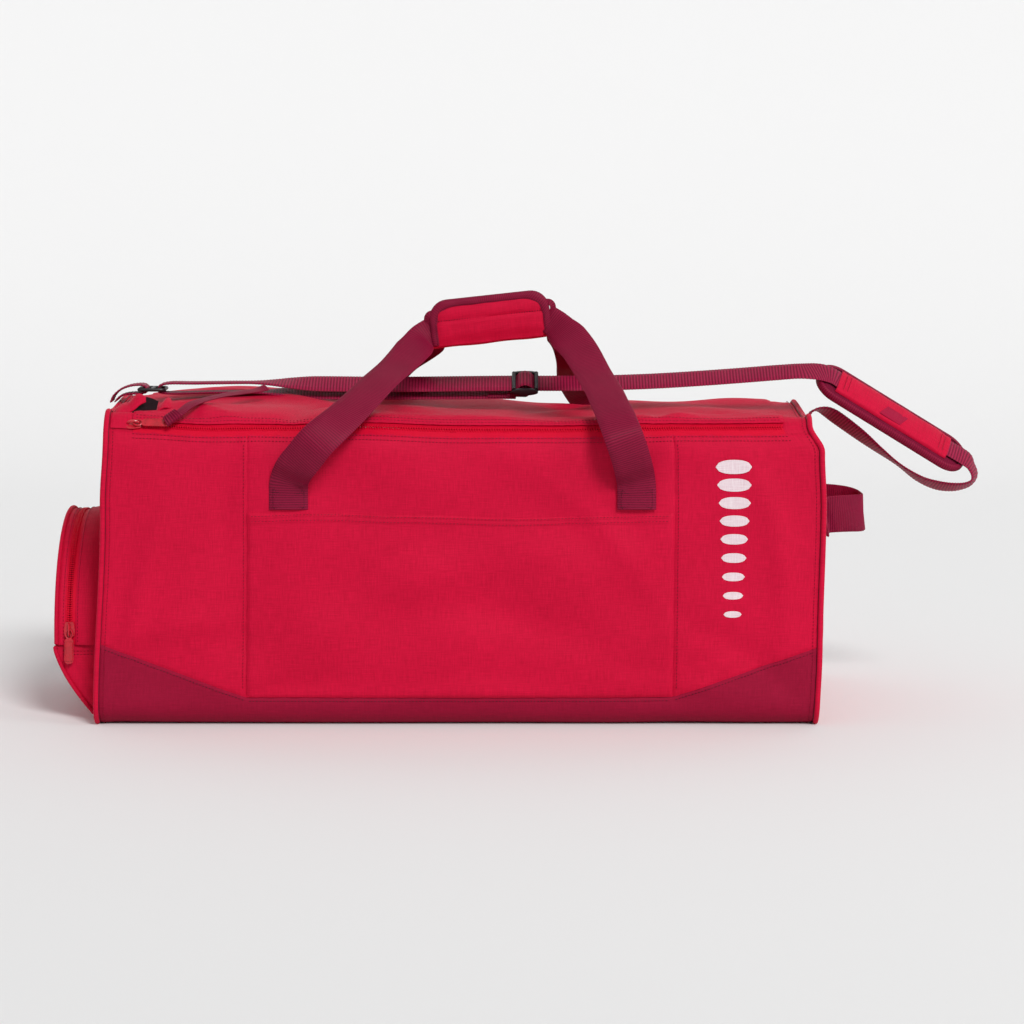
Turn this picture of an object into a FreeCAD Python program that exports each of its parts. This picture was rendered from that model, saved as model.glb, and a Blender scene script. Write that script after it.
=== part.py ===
import FreeCAD, Part
import math
import os

import Sketcher

# Hockey equipment bag: a long soft holdall with a zipped mouth along its top front edge, a D-shaped
# zipped pocket on its left end, a patch pocket on its front, two webbing carry handles joined by a
# wrap-round grip, a grab handle on its right end and a shoulder strap with a sliding pad.
# Millimetres. X runs along the bag, -Y is the front, +Z is up. The origin is on the floor, under
# the middle of the body.

V = FreeCAD.Vector

DIMENSIONS = (
    # alias, value, what it is
    ("half_length", 370, "half of the body's length, seam to seam"),
    ("half_depth", 165, "half of the body's depth"),
    ("body_height", 326, "height of the body"),
    ("bottom_round", 25, "radius along the lower long edges"),
    ("top_round", 40, "radius along the upper long edges"),
    ("wall", 3, "thickness of a lined fabric wall"),
    ("seam_left", -218, "vertical seam, left of the front centre panel"),
    ("seam_right", 223, "vertical seam, right of the front centre panel"),
    ("base_edge", 30, "top of the base panel between the vertical seams"),
    ("base_edge_left", 88, "top of the base panel at the left end"),
    ("base_edge_right", 84, "top of the base panel at the right end"),
    ("mouth_half", 345, "half of the length of the zipped mouth"),
    ("zip_gap", 2, "half of the angle between the two rows of teeth, degrees"),
    ("handle_webbing", 40, "width of the carry handle webbing"),
    ("handle_thick", 3, "thickness of the carry handle webbing"),
    ("patch_low", 226, "lower edge of the handle patches"),
    ("patch_high", 250, "upper edge of the handle patches"),
    ("handle_left", -173, "middle of the left handle patches"),
    ("handle_right", 185, "middle of the right handle patches"),
    ("patch_pocket_top", 223, "open top edge of the front pocket"),
    ("patch_pocket_gap", 6, "room inside the front pocket"),
    ("strap_width", 30, "width of the shoulder strap webbing"),
    ("strap_thick", 2.5, "thickness of the shoulder strap webbing"),
    ("strap_line", 45, "how far behind the middle the shoulder strap runs"),
    ("strap_level", 341.2, "height of the strap where the adjuster slides"),
    ("adjuster_place", 71, "middle of the adjuster at rest"),
    ("pad_length", 185, "length of the shoulder pad"),
    ("pad_half", 27, "half of the width of the pad's foam"),
    ("pad_pitch", 31.5, "slope of the pad, degrees"),
    ("pad_roll", 30, "how far the pad's front edge hangs, degrees"),
    ("grip_half", 64, "half of the length of the carry grip"),
    ("grip_pitch", -6.2, "slope of the carry grip, degrees"),
    ("grip_level", 414, "height of the middle of the carry grip"),
    ("grip_place", 33, "middle of the carry grip along the bag"),
    ("end_handle_level", 208, "middle of the right end handle's height"),
    ("pocket_radius", 130, "outer radius of the end pocket's arch"),
    ("pocket_level", 80, "height of the centre of the end pocket's arch"),
    ("pocket_depth", 48, "how far the end pocket stands out of the end panel"),
    ("pocket_zip", 406.2, "distance of the end pocket's zip from the middle of the bag"),
)

doc = FreeCAD.newDocument("hockey_bag")
sheet = doc.addObject("Spreadsheet::Sheet", "dims")
for row, (alias, value, note) in enumerate(DIMENSIONS, start=1):
    sheet.set(f"A{row}", note)
    sheet.set(f"B{row}", str(value))
    sheet.setAlias(f"B{row}", alias)
doc.recompute()

nodes = []


def read(expression):
    """The value of a sheet expression, or of a plain number."""
    return float(sheet.evalExpression(str(expression)))


def bind(thing, **expressions):
    """Binds properties, such as Placement__Base__x, to sheet expressions."""
    for name, expression in expressions.items():
        thing.setExpression(name.replace("__", "."), str(expression))


def node(thing, label):
    """Marks an object as one separate piece of the bag."""
    thing.Label = label
    nodes.append(thing)
    return thing


# ---------------------------------------------------------------- plain building blocks


def block(name, xs, ys, zs):
    """Box between two expressions on each axis."""
    box = doc.addObject("Part::Box", name)
    for axis, size, (low, high) in zip("xyz", ("Length", "Width", "Height"), (xs, ys, zs)):
        box.setExpression(f"Placement.Base.{axis}", str(low))
        box.setExpression(size, f"({high}) - ({low})")
    return box


def rod(name, radius, length, centre, direction):
    """Round pin, centred, along a direction."""
    pin = doc.addObject("Part::Cylinder", name)
    pin.Radius, pin.Height = radius, length
    turn = FreeCAD.Rotation(V(0, 0, 1), V(*direction))
    pin.Placement = FreeCAD.Placement(V(*centre) - V(*direction) * (length / 2), turn)
    return pin


def fused(name, *parts):
    fuse = doc.addObject("Part::MultiFuse", name)
    fuse.Shapes = list(parts)
    return fuse


def cut(name, base, tool):
    result = doc.addObject("Part::Cut", name)
    result.Base, result.Tool = base, tool
    return result


def common(name, *parts):
    result = doc.addObject("Part::MultiCommon", name)
    result.Shapes = list(parts)
    return result


def grouped(name, *parts):
    """Several separate solids that make one node."""
    group = doc.addObject("Part::Compound", name)
    group.Links = list(parts)
    return group


def arch(name, centre, radii, start, sweep, xs):
    """Part of a tube round an axis along X: degrees from +Y towards +Z, between two radii."""
    pieces = []
    for part_name, radius in ((f"{name}_outer", radii[1]), (f"{name}_inner", radii[0])):
        sector = doc.addObject("Part::Cylinder", part_name)
        bind(sector, Radius=radius, Height=f"({xs[1]}) - ({xs[0]})", Angle=sweep)
        # X, Y, Z of the cylinder become Y, Z, X of the bag before it is turned to its start
        turned = FreeCAD.Rotation(V(1, 0, 0), read(start)) * FreeCAD.Rotation(V(1, 1, 1), 120)
        sector.Placement = FreeCAD.Placement(V(0, 0, 0), turned)
        bind(sector, Placement__Base__x=xs[0], Placement__Base__y=centre[0])
        bind(sector, Placement__Base__z=centre[1])
        pieces.append(sector)
    return cut(name, *pieces)


def polygon_sketch(name, points, turn):
    """Closed outline of straight lines, every corner bound to its two expressions."""
    sketch = doc.addObject("Sketcher::SketchObject", name)
    sketch.Placement = FreeCAD.Placement(V(0, 0, 0), turn)
    corners = [V(read(a), read(b), 0) for a, b in points]
    count = len(corners)
    for index, corner in enumerate(corners):
        sketch.addGeometry(Part.LineSegment(corner, corners[(index + 1) % count]))
    for index, (across, up) in enumerate(points):
        sketch.addConstraint(Sketcher.Constraint("Coincident", index, 2, (index + 1) % count, 1))
        for kind, expression in (("DistanceX", across), ("DistanceY", up)):
            at = sketch.addConstraint(
                Sketcher.Constraint(kind, -1, 1, index, 1, read(expression))
            )
            sketch.setExpression(f"Constraints[{at}]", str(expression))
    return sketch


ACROSS = FreeCAD.Rotation(V(1, 1, 1), 120)  # sketch X, Y become Y, Z of the bag
ALONG = FreeCAD.Rotation(V(1, 0, 0), 90)  # sketch X, Y become X, Z of the bag


def extruded(name, sketch, direction, start, length):
    """Solid from a sketch, pushed along one axis from start over length."""
    solid = doc.addObject("Part::Extrusion", name)
    solid.Base, solid.DirMode, solid.Dir, solid.Solid = sketch, "Custom", direction, True
    axis = "xyz"[[abs(round(value)) for value in direction].index(1)]
    bind(solid, LengthFwd=length, **{f"Placement__Base__{axis}": start})
    return solid


def profile_sketch(name, inset, floor):
    """The body's cross-section, drawn in by inset, with its underside at floor."""
    side, low, high = f"dims.half_depth - {inset}", f"{floor}", f"dims.body_height - {inset}"
    small, large = f"dims.bottom_round - {inset}", f"dims.top_round - {inset}"
    w, z0, z1, rb, rt = (read(value) for value in (side, low, high, small, large))
    sketch = doc.addObject("Sketcher::SketchObject", name)
    sketch.Placement = FreeCAD.Placement(V(0, 0, 0), ACROSS)

    def line(a, b):
        sketch.addGeometry(Part.LineSegment(V(*a, 0), V(*b, 0)))

    def corner(centre, radius, start):
        circle = Part.Circle(V(*centre, 0), V(0, 0, 1), radius)
        quarter = math.pi / 2
        sketch.addGeometry(Part.ArcOfCircle(circle, start * quarter, (start + 1) * quarter))

    line((-w + rb, z0), (w - rb, z0))
    corner((w - rb, z0 + rb), rb, 3)
    line((w, z0 + rb), (w, z1 - rt))
    corner((w - rt, z1 - rt), rt, 0)
    line((w - rt, z1), (-w + rt, z1))
    corner((-w + rt, z1 - rt), rt, 1)
    line((-w, z1 - rt), (-w, z0 + rb))
    corner((-w + rb, z0 + rb), rb, 2)
    for index in range(8):
        sketch.addConstraint(Sketcher.Constraint("Tangent", index, 2, (index + 1) % 8, 1))
    for index, kind in ((0, "Horizontal"), (2, "Vertical")):
        sketch.addConstraint(Sketcher.Constraint(kind, index))
    sketch.addConstraint(Sketcher.Constraint("Equal", 1, 7))
    sketch.addConstraint(Sketcher.Constraint("Equal", 3, 5))
    bound = (
        (("Radius", 1), small),
        (("Radius", 3), large),
        (("DistanceX", -1, 1, 2, 1), side),
        (("DistanceX", -1, 1, 6, 1), f"-({side})"),
        (("DistanceY", -1, 1, 0, 1), low),
        (("DistanceY", -1, 1, 4, 1), high),
    )
    for arguments, expression in bound:
        at = sketch.addConstraint(Sketcher.Constraint(*arguments, read(expression)))
        sketch.setExpression(f"Constraints[{at}]", expression)
    return sketch


def webbing(stations, width, thickness):
    """Cross-sections of a flat band through (centre, face normal) or (centre, face normal, run).

    The face normal is a hint: it is squared up to the run. Where no run is given, the section
    halves the corner there, and the thickness is widened so that the band keeps it."""
    centres = [V(*station[0]) for station in stations]
    sections = []
    for index, (centre, (_, hint, *given)) in enumerate(zip(centres, stations)):
        before = centre - centres[index - 1] if index else centres[1] - centre
        after = centres[index + 1] - centre if index + 1 < len(centres) else before
        if given:
            before = after = V(*given[0])
        before, after = V(before).normalize(), V(after).normalize()
        run = (before + after).normalize()
        side = run.cross(V(*hint)).normalize() * (width / 2)
        out = side.cross(run).normalize() * (thickness / 2 / run.dot(before))
        corners = [centre + side + out, centre - side + out]
        corners += [centre - side - out, centre + side - out]
        sections.append(Part.makePolygon(corners + corners[:1]))
    return sections


def band(sections):
    """Solid through sections. Two bands that share a section meet face to face."""
    return Part.makeLoft(sections, True, True)


def flat_band(points, thickness, turn, place, sweep):
    """Band that bends only in one plane: its edge-on outline, pushed across its width.

    The outline is drawn from the middle line's points, turned and moved into place."""
    line_points = [V(a, b, 0) for a, b in points]
    sides = ([], [])
    for index, point in enumerate(line_points):
        before = point - line_points[index - 1] if index else line_points[1] - point
        last = index + 1 == len(line_points)
        after = before if last else line_points[index + 1] - point
        before, after = V(before).normalize(), V(after).normalize()
        run = (before + after).normalize()
        out = V(-run.y, run.x, 0) * (thickness / 2 / run.dot(before))
        sides[0].append(point + out)
        sides[1].append(point - out)
    outline = sides[0] + sides[1][::-1]
    outline = [turn.multVec(corner) + place for corner in outline]
    return Part.Face(Part.makePolygon(outline + outline[:1])).extrude(sweep)


def shaped(label, *shapes):
    """A piece whose shape is worked out in code because it bends freely in space."""
    thing = doc.addObject("Part::Feature", label)
    thing.Shape = shapes[0] if len(shapes) == 1 else Part.makeCompound(shapes)
    thing.Placement = FreeCAD.Placement()
    return node(thing, label)


def mirrored(label, source):
    """The same pieces on the other side of the bag, front to back."""
    mirror = doc.addObject("Part::Mirroring", label)
    mirror.Source, mirror.Normal = source, V(0, 1, 0)
    return node(mirror, label)


# ---------------------------------------------------------------- body panels

FRONT_ARC = ("-dims.half_depth + dims.top_round", "dims.body_height - dims.top_round")
ZIP_ANGLE = 135  # the zip runs half-way round the upper front edge
FRONT_EDGE = 145  # the front panels stop here, just below the zip


def radial(angle, radius):
    """Point of the upper front edge's section: expressions for Y and Z."""
    turn = math.radians(angle)
    y, z = (f"({centre}) + {radius * part:.4f}" for centre, part in
            zip(FRONT_ARC, (math.cos(turn), math.sin(turn))))
    return y, z


shell = cut(
    "shell",
    extruded("shell_outside", profile_sketch("outside_profile", 0, 0), V(1, 0, 0),
             "-dims.half_length", "2 * dims.half_length"),
    extruded("shell_inside", profile_sketch("inside_profile", "dims.wall", "dims.wall"),
             V(1, 0, 0), "-dims.half_length - 1", "2 * dims.half_length + 2"),
)

BEYOND = "dims.half_length + 5"
base_line = [
    (f"-({BEYOND})", "dims.base_edge_left"),
    ("dims.seam_left", "dims.base_edge"),
    ("dims.seam_right", "dims.base_edge"),
    (BEYOND, "dims.base_edge_right"),
]
DEEP = "2 * dims.half_depth + 40"
below_line = extruded(
    "base_zone",
    polygon_sketch("base_zone_outline", base_line + [(BEYOND, -5), (f"-({BEYOND})", -5)], ALONG),
    V(0, -1, 0), "dims.half_depth + 20", DEEP,
)
above_line = extruded(
    "upper_zone",
    polygon_sketch("upper_zone_outline",
                   base_line + [(BEYOND, 400), (f"-({BEYOND})", 400)], ALONG),
    V(0, -1, 0), "dims.half_depth + 20", DEEP,
)
node(common("base_panel", shell, below_line), "base_panel")

FRONT_FACE = "-dims.half_depth - 40"
front_outline = [
    (FRONT_FACE, -20), ("-dims.half_depth + 60", -20), ("-dims.half_depth + 60", 290),
    radial(FRONT_EDGE, 20), radial(FRONT_EDGE, 60), (FRONT_FACE, 400),
]
front_zone = extruded("front_zone", polygon_sketch("front_zone_outline", front_outline, ACROSS),
                      V(1, 0, 0), f"-({BEYOND})", f"2 * ({BEYOND})")
front_wall = common("front_wall", shell, above_line, front_zone)
for label, low, high in (
    ("front_left_panel", f"-({BEYOND})", "dims.seam_left"),
    ("front_centre_panel", "dims.seam_left", "dims.seam_right"),
    ("front_right_panel", "dims.seam_right", BEYOND),
):
    zone = block(f"{label}_zone", (low, high), (FRONT_FACE, 0), (-20, 400))
    node(common(label, front_wall, zone), label)

back_zone = block("back_zone", (f"-({BEYOND})", BEYOND), ("dims.half_depth - 50", 260),
                  (-20, FRONT_ARC[1]))
node(common("back_panel", shell, above_line, back_zone), "back_panel")
rear_zone = block("top_rear_zone", (f"-({BEYOND})", BEYOND), (0, 260), (FRONT_ARC[1], 400))
node(common("top_rear_panel", shell, rear_zone), "top_rear_panel")

top_outline = [
    (0, 300), (0, 400), (FRONT_FACE, 400), radial(FRONT_EDGE, 60), radial(FRONT_EDGE, 20),
]
for label, low, high in (
    ("top_left_strip", f"-({BEYOND})", "-dims.mouth_half"),
    ("top_right_strip", "dims.mouth_half", BEYOND),
):
    zone = extruded(f"{label}_zone", polygon_sketch(f"{label}_outline", top_outline, ACROSS),
                    V(1, 0, 0), low, f"({high}) - ({low})")
    node(common(label, shell, zone), label)

# The end panels are set inside rings of piping, which cover the seams round both ends.
for label, start, ring_start in (
    ("left", "-dims.half_length - 0.3 - dims.wall", "-dims.half_length - 6"),
    ("right", "dims.half_length + 0.3", "dims.half_length"),
):
    panel_sketch = profile_sketch(f"{label}_panel_profile", 4.3, 4.3)
    panel = extruded(f"{label}_end_panel", panel_sketch, V(1, 0, 0), start, "dims.wall")
    node(panel, f"{label}_end_panel")
    ring = cut(
        f"{label}_end_piping",
        extruded(f"{label}_ring_outside", profile_sketch(f"{label}_ring_profile", -2, 0),
                 V(1, 0, 0), ring_start, 6),
        extruded(f"{label}_ring_inside", profile_sketch(f"{label}_ring_hole", 4, 4),
                 V(1, 0, 0), f"{ring_start} - 1", 8),
    )
    node(ring, f"{label}_end_piping")

node(block("base_board", ("-dims.half_length + 25", "dims.half_length - 25"),
           ("-dims.half_depth + 27", "dims.half_depth - 27"),
           ("dims.wall + 0.2", "dims.wall + 3.2")), "base_board")

# The front patch pocket is a tray whose open side is up, sewn to the front centre panel.
pocket_xs = ("dims.seam_left + 4", "dims.seam_right - 4")
node(cut(
    "front_pocket_panel",
    block("front_pocket_outside", pocket_xs,
          ("-dims.half_depth - dims.patch_pocket_gap - 2", "-dims.half_depth"),
          ("dims.base_edge + 4", "dims.patch_pocket_top")),
    block("front_pocket_inside", (f"{pocket_xs[0]} + 2", f"{pocket_xs[1]} - 2"),
          ("-dims.half_depth - dims.patch_pocket_gap", "-dims.half_depth + 1"),
          ("dims.base_edge + 6", "dims.patch_pocket_top + 1")),
), "front_pocket_panel")

# ---------------------------------------------------------------- main zip and mouth

ZIP_XS = ("-dims.mouth_half + 1", "dims.mouth_half - 1")
TEETH_SWEEP = 3.6
node(arch("main_zip_front_tape", FRONT_ARC, (35.7, 36.7), 137, 18, ZIP_XS),
     "main_zip_front_tape")
node(arch("main_zip_front_teeth", FRONT_ARC, (36.9, 38.9),
          f"{ZIP_ANGLE} + dims.zip_gap", TEETH_SWEEP, ZIP_XS), "main_zip_front_teeth")
node(arch("main_zip_rear_tape", FRONT_ARC, (39.1, 40.2), 114, 19, ZIP_XS),
     "main_zip_rear_tape")
node(arch("main_zip_rear_teeth", FRONT_ARC, (36.9, 38.9),
          f"{ZIP_ANGLE} - dims.zip_gap - {TEETH_SWEEP}", TEETH_SWEEP, ZIP_XS),
     "main_zip_rear_teeth")
node(arch("main_zip_end_tab", FRONT_ARC, (40.3, 42.3), 122, 26,
          ("-dims.half_length + 3", "-dims.mouth_half - 1")), "main_zip_end_tab")

flap_xs = ("-dims.mouth_half + 0.5", "dims.mouth_half - 0.5")
node(fused(
    "mouth_flap_panel",
    arch("mouth_flap_edge", FRONT_ARC, (40.5, 43.5), 90, 34, flap_xs),
    block("mouth_flap_top", flap_xs, (FRONT_ARC[0], 8),
          ("dims.body_height + 0.5", "dims.body_height + 3.5")),
), "mouth_flap_panel")

SLIDER_REST = -333  # middle of the main slider when the mouth is closed
slider = fused(
    "main_zip_slider_body",
    block("slider_top_plate", (-8, 8), (-6, 6), (40.6, 42.4)),
    block("slider_bottom_plate", (-8, 8), (-6, 6), (33.0, 34.8)),
    block("slider_bridge", (-7, -3), (-0.8, 0.8), (34.8, 40.6)),
    block("slider_left_post", (-6.5, -5), (-1.2, 1.2), (42.4, 46.2)),
    block("slider_right_post", (5, 6.5), (-1.2, 1.2), (42.4, 46.2)),
    block("slider_bail", (-6.5, 6.5), (-1.2, 1.2), (46.2, 47.6)),
)
pull = fused(
    "main_zip_pull_tab",
    rod("pull_pin", 0.9, 8.4, (0, 0, 44.3), (0, 1, 0)),
    block("pull_front_cheek", (0, 10), (-4.2, -2.6), (43.4, 45.2)),
    block("pull_rear_cheek", (0, 10), (2.6, 4.2), (43.4, 45.2)),
    block("pull_plate", (9, 38), (-5, 5), (43.4, 45.2)),
)
# Both are drawn upright over the arc's centre, then leaned forward to the zip's line.
for thing in (slider, pull):
    lean = FreeCAD.Rotation(V(1, 0, 0), ZIP_ANGLE - 90)
    thing.Placement = FreeCAD.Placement(V(SLIDER_REST, 0, 0), lean)
    bind(thing, Placement__Base__y=FRONT_ARC[0], Placement__Base__z=FRONT_ARC[1])
    node(thing, thing.Name)

UPWARD, FORWARD = (0, 0, 1), (0, -1, 0)
RIBBON_WIDTH, RIBBON_THICK = 11, 1.6
shaped("main_zip_ribbon", band(webbing([
    ((-298, -160.5, 322.2), (0, -1, 1)),
    ((-285, -153, 327), (0, -1, 2)),
    ((-268, -120, 333.5), UPWARD),
    ((-245, -62, 334.5), UPWARD),
    ((-217, -10, 334.5), UPWARD),
], RIBBON_WIDTH, RIBBON_THICK)))

# ---------------------------------------------------------------- carry handles and grip

thick = read("dims.handle_thick")
wide = read("dims.handle_webbing")
patches = []
for side, middle in (("left", "dims.handle_left"), ("right", "dims.handle_right")):
    patches.append(block(
        f"{side}_patch",
        (f"{middle} - dims.handle_webbing / 2", f"{middle} + dims.handle_webbing / 2"),
        ("-dims.half_depth - dims.handle_thick", "-dims.half_depth"),
        ("dims.patch_low", "dims.patch_high")))
front_patches = node(grouped("front_handle_patches", *patches), "front_handle_patches")
mirrored("back_handle_patches", front_patches)

face = -read("dims.half_depth") - thick / 2
foot = read("dims.patch_high") + 0.3
left_foot, right_foot = read("dims.handle_left"), read("dims.handle_right")
slope = math.tan(math.radians(-read("dims.grip_pitch")))
grip_place, grip_level = read("dims.grip_place"), read("dims.grip_level")
reach = (read("dims.grip_half") + 0.5) * math.cos(math.radians(read("dims.grip_pitch")))
left_end, right_end = grip_place - reach, grip_place + reach
left_leg = webbing([
    ((left_foot, face - 0.2, foot), FORWARD, UPWARD),
    ((-166, -184, 268), FORWARD),
    ((-143, -198, 299), (0, -1, 0.4)),
    ((-113.6, -176, 323), (0, -1, 0.9)),
    ((-81, -112, 355), (0, -0.4, 1)),
    ((-63, -68, 367), (0, -0.6, 1)),
    ((-47, -30, 385), (0, -1, 0.7)),
    ((left_end - 8, -9, 398), (0.2, -1, 0.3), (1, 0.3, 0.3)),
    ((left_end, -3.1, grip_level - reach * slope), FORWARD, (1, 0, slope)),
], wide, thick)
right_leg = webbing([
    ((right_foot, face - 0.2, foot), FORWARD, UPWARD),
    ((181, -184, 270), FORWARD),
    ((171, -198, 303), (0, -1, 0.4)),
    ((162, -176, 325), (0, -1, 0.9)),
    ((152, -128, 345), (0, -0.5, 1)),
    ((141, -88, 363), (0, -0.5, 1)),
    ((127, -50, 385), (0, -1, 0.7)),
    ((right_end + 9, -14, 410), (-0.2, -1, 0.3), (-1, 0.3, -0.1)),
    ((right_end, -3.1, grip_level + reach * slope), FORWARD, (-1, 0, -slope)),
], wide, thick)
LIMP = 2  # the legs lean out on their own up to this station and hang from the grip beyond it
front_lower = shaped("front_handle_lower_legs", band(left_leg[:LIMP + 1]),
                     band(right_leg[:LIMP + 1]))
mirrored("back_handle_lower_legs", front_lower)
front_upper = shaped("front_handle_upper_legs", band(left_leg[LIMP:]), band(right_leg[LIMP:]))
mirrored("back_handle_upper_legs", front_upper)

# The grip is a fabric wrap folded along its lower edge and closed above the webbing.
ALONG_GRIP = ("-dims.grip_half", "dims.grip_half")
GRIP_TAPE = ("-dims.grip_half + 4", "dims.grip_half - 4")
FLAP_FACE = (-9.9, -8.4)
grip_pieces = [
    fused("grip_back_leaf",
          block("grip_back", ALONG_GRIP, (6.2, 8.2), (-26.2, 24)),
          block("grip_fold", ALONG_GRIP, (-5.6, 8.2), (-26.2, -24.2))),
    grouped("handle_grip_runs",
            block("front_grip_run", ALONG_GRIP, (-4.6, -1.6),
                  ("-dims.handle_webbing / 2", "dims.handle_webbing / 2")),
            block("back_grip_run", ALONG_GRIP, (1.6, 4.6),
                  ("-dims.handle_webbing / 2", "dims.handle_webbing / 2"))),
    block("grip_loop_tape", GRIP_TAPE, (0.2, 6.1), (20.6, 23.8)),
    block("grip_front_leaf", ALONG_GRIP, (-8.2, -6.2), (-26.2, 24)),
    block("grip_hook_tape", GRIP_TAPE, (-6.1, -0.2), (20.6, 23.8)),
    fused("grip_binding",
          block("binding_left", ("-dims.grip_half", "-dims.grip_half + 9"), FLAP_FACE, (-26, 24)),
          block("binding_right", ("dims.grip_half - 9", "dims.grip_half"), FLAP_FACE, (-26, 24)),
          block("binding_top", ALONG_GRIP, FLAP_FACE, (15, 24))),
]
for piece in grip_pieces:
    # a box keeps its own corner, so the slope is applied to a compound that holds it
    holder = grouped(f"{piece.Name}_placed", piece)
    slant = FreeCAD.Rotation(V(0, 1, 0), read("dims.grip_pitch"))
    holder.Placement = FreeCAD.Placement(V(0, 0, 0), slant)
    bind(holder, Placement__Base__x="dims.grip_place", Placement__Base__z="dims.grip_level")
    node(holder, f"{piece.Name}_node")

# ---------------------------------------------------------------- right end handle

end_face = read("dims.half_length + 0.3 + dims.wall")
loop_plan = [(0, 62), (22, 57), (44, 40), (58, 14)]  # distance from the end panel, half-spread
loop_plan += [(out, -spread) for out, spread in reversed(loop_plan)]
level = read("dims.end_handle_level")
shaped("end_handle_loop", flat_band(
    [(end_face + 2.2 + out, spread) for out, spread in loop_plan], 4, FreeCAD.Rotation(),
    V(0, 0, level - wide / 2), V(0, 0, wide)))
high, low = (f"dims.end_handle_level {sign} dims.handle_webbing / 2" for sign in "+-")
END_XS = ("dims.half_length + 0.3 + dims.wall", "dims.half_length + 3.3 + dims.wall")
node(grouped("end_handle_patches",
             block("end_patch_front", END_XS, (-90, -65), (low, high)),
             block("end_patch_back", END_XS, (65, 90), (low, high))), "end_handle_patches")

# ---------------------------------------------------------------- shoulder strap

line = read("dims.strap_line")
strap_wide, strap_thick = read("dims.strap_width"), read("dims.strap_thick")
upper = read("dims.strap_level")
STRAP_YS = ("dims.strap_line - dims.strap_width / 2", "dims.strap_line + dims.strap_width / 2")

SLOT_YS = ("dims.strap_line - 15.6", "dims.strap_line + 15.6")
RING_ZS = (333, 337)
ring_block = block("ring_block", (-351, -320), ("dims.strap_line - 19", "dims.strap_line + 19"),
                   RING_ZS)
ring_slots = fused("ring_slots", block("ring_slot_left", (-347, -338.6), SLOT_YS, (330, 340)),
                   block("ring_slot_right", (-332.4, -324), SLOT_YS, (330, 340)))
node(cut("strap_ring", ring_block, ring_slots), "strap_ring")

LAYER_LOW, LAYER_HIGH = 331.4, 338.6  # strap layers under and over the ring's bars
shaped("strap_left_anchor", flat_band(
    [(-379, 329.4), (-364, LAYER_HIGH), (-342.8, LAYER_HIGH), (-342.8, LAYER_LOW),
     (-360, LAYER_LOW), (-372, 329.4)], 2, ALONG, V(0, line + strap_wide / 2, 0),
    V(0, -strap_wide, 0)))

# The strap's own frame inside the pad: along the slope, rolled forward.
pitch, roll = read("dims.pad_pitch"), read("dims.pad_roll")
PAD_MIDDLE = V(474, line, 307)
pad_turn = FreeCAD.Rotation(V(0, 1, 0), pitch) * FreeCAD.Rotation(V(1, 0, 0), roll)
pad_face = tuple(pad_turn.multVec(V(0, 0, 1)))
pad_run = pad_turn.multVec(V(1, 0, 0))
before_pad = tuple(PAD_MIDDLE - pad_run * 107)
after_pad = tuple(PAD_MIDDLE + pad_run * 94)


def on_line(x, z, face_normal):
    """Station on the strap's own line along the bag."""
    return (x, line, z), face_normal


def rolled(degrees):
    """Upward face normal, leaned towards the front."""
    turn = math.radians(degrees)
    return 0, -math.sin(turn), math.cos(turn)


DOWNWARD = (0, 0, -1)
TO_PAD = [
    on_line(-328.2, LAYER_LOW + 1.6, (-1, 0, 0)),
    on_line(-328.2, LAYER_HIGH, (-1, 0, 1)),
    on_line(-305, upper, UPWARD),
    on_line(110, upper, UPWARD),
    on_line(207, 344, UPWARD),
    on_line(313, 353, rolled(6)),
    on_line(362, 360, rolled(18)),
    (before_pad, pad_face),
    (after_pad, pad_face, tuple(pad_run)),
]
FROM_PAD = [
    on_line(563, 246.5, (1, -0.4, 0.3)),
    on_line(563.5, 237, (1, -0.3, -0.2)),
    on_line(555, 229.5, (0.5, 0, -1)),
    on_line(540, 227, DOWNWARD),
    on_line(523, 229, DOWNWARD),
    on_line(503, 236.5, DOWNWARD),
    on_line(480, 252, DOWNWARD),
    on_line(457, 269, DOWNWARD),
    on_line(436, 285.5, DOWNWARD),
    on_line(415, 302, DOWNWARD),
    on_line(402, 311, DOWNWARD),
    on_line(391, 314, DOWNWARD),
    on_line(383, 310, (0.7, 0, -1)),
    on_line(380.4, 302, (1, 0, 0)),
]
strap = webbing(TO_PAD + FROM_PAD, strap_wide, strap_thick)
shaped("strap_long_run", band(strap[:len(TO_PAD)]))
shaped("strap_return_run", band(strap[len(TO_PAD) - 1:]))
node(block("strap_lower_run", (-329.4, "dims.adjuster_place - 9"), STRAP_YS,
           (LAYER_LOW - 1.25, LAYER_LOW + 1.25)), "strap_lower_run")
node(block("strap_right_anchor", ("dims.half_length + 6.3", "dims.half_length + 8.6"), STRAP_YS,
           (292, 317)), "strap_right_anchor")

# Tri-glide: the strap passes over its middle bar and under its two end bars.
AT = "dims.adjuster_place"
RAIL_ZS = (335.2, 346)
BAR_YS = ("dims.strap_line - 17", "dims.strap_line + 17")
node(fused(
    "strap_adjuster_frame",
    block("adjuster_front_rail", (f"{AT} - 14", f"{AT} + 14"),
          ("dims.strap_line - 19.5", "dims.strap_line - 16"), RAIL_ZS),
    block("adjuster_back_rail", (f"{AT} - 14", f"{AT} + 14"),
          ("dims.strap_line + 16", "dims.strap_line + 19.5"), RAIL_ZS),
    block("adjuster_left_bar", (f"{AT} - 14", f"{AT} - 11"), BAR_YS, (343.1, 346)),
    block("adjuster_right_bar", (f"{AT} + 11", f"{AT} + 14"), BAR_YS, (343.1, 346)),
    block("adjuster_middle_bar", (f"{AT} - 2", f"{AT} + 2"), BAR_YS, (335.2, 337.4)),
), "strap_adjuster_frame")
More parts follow.
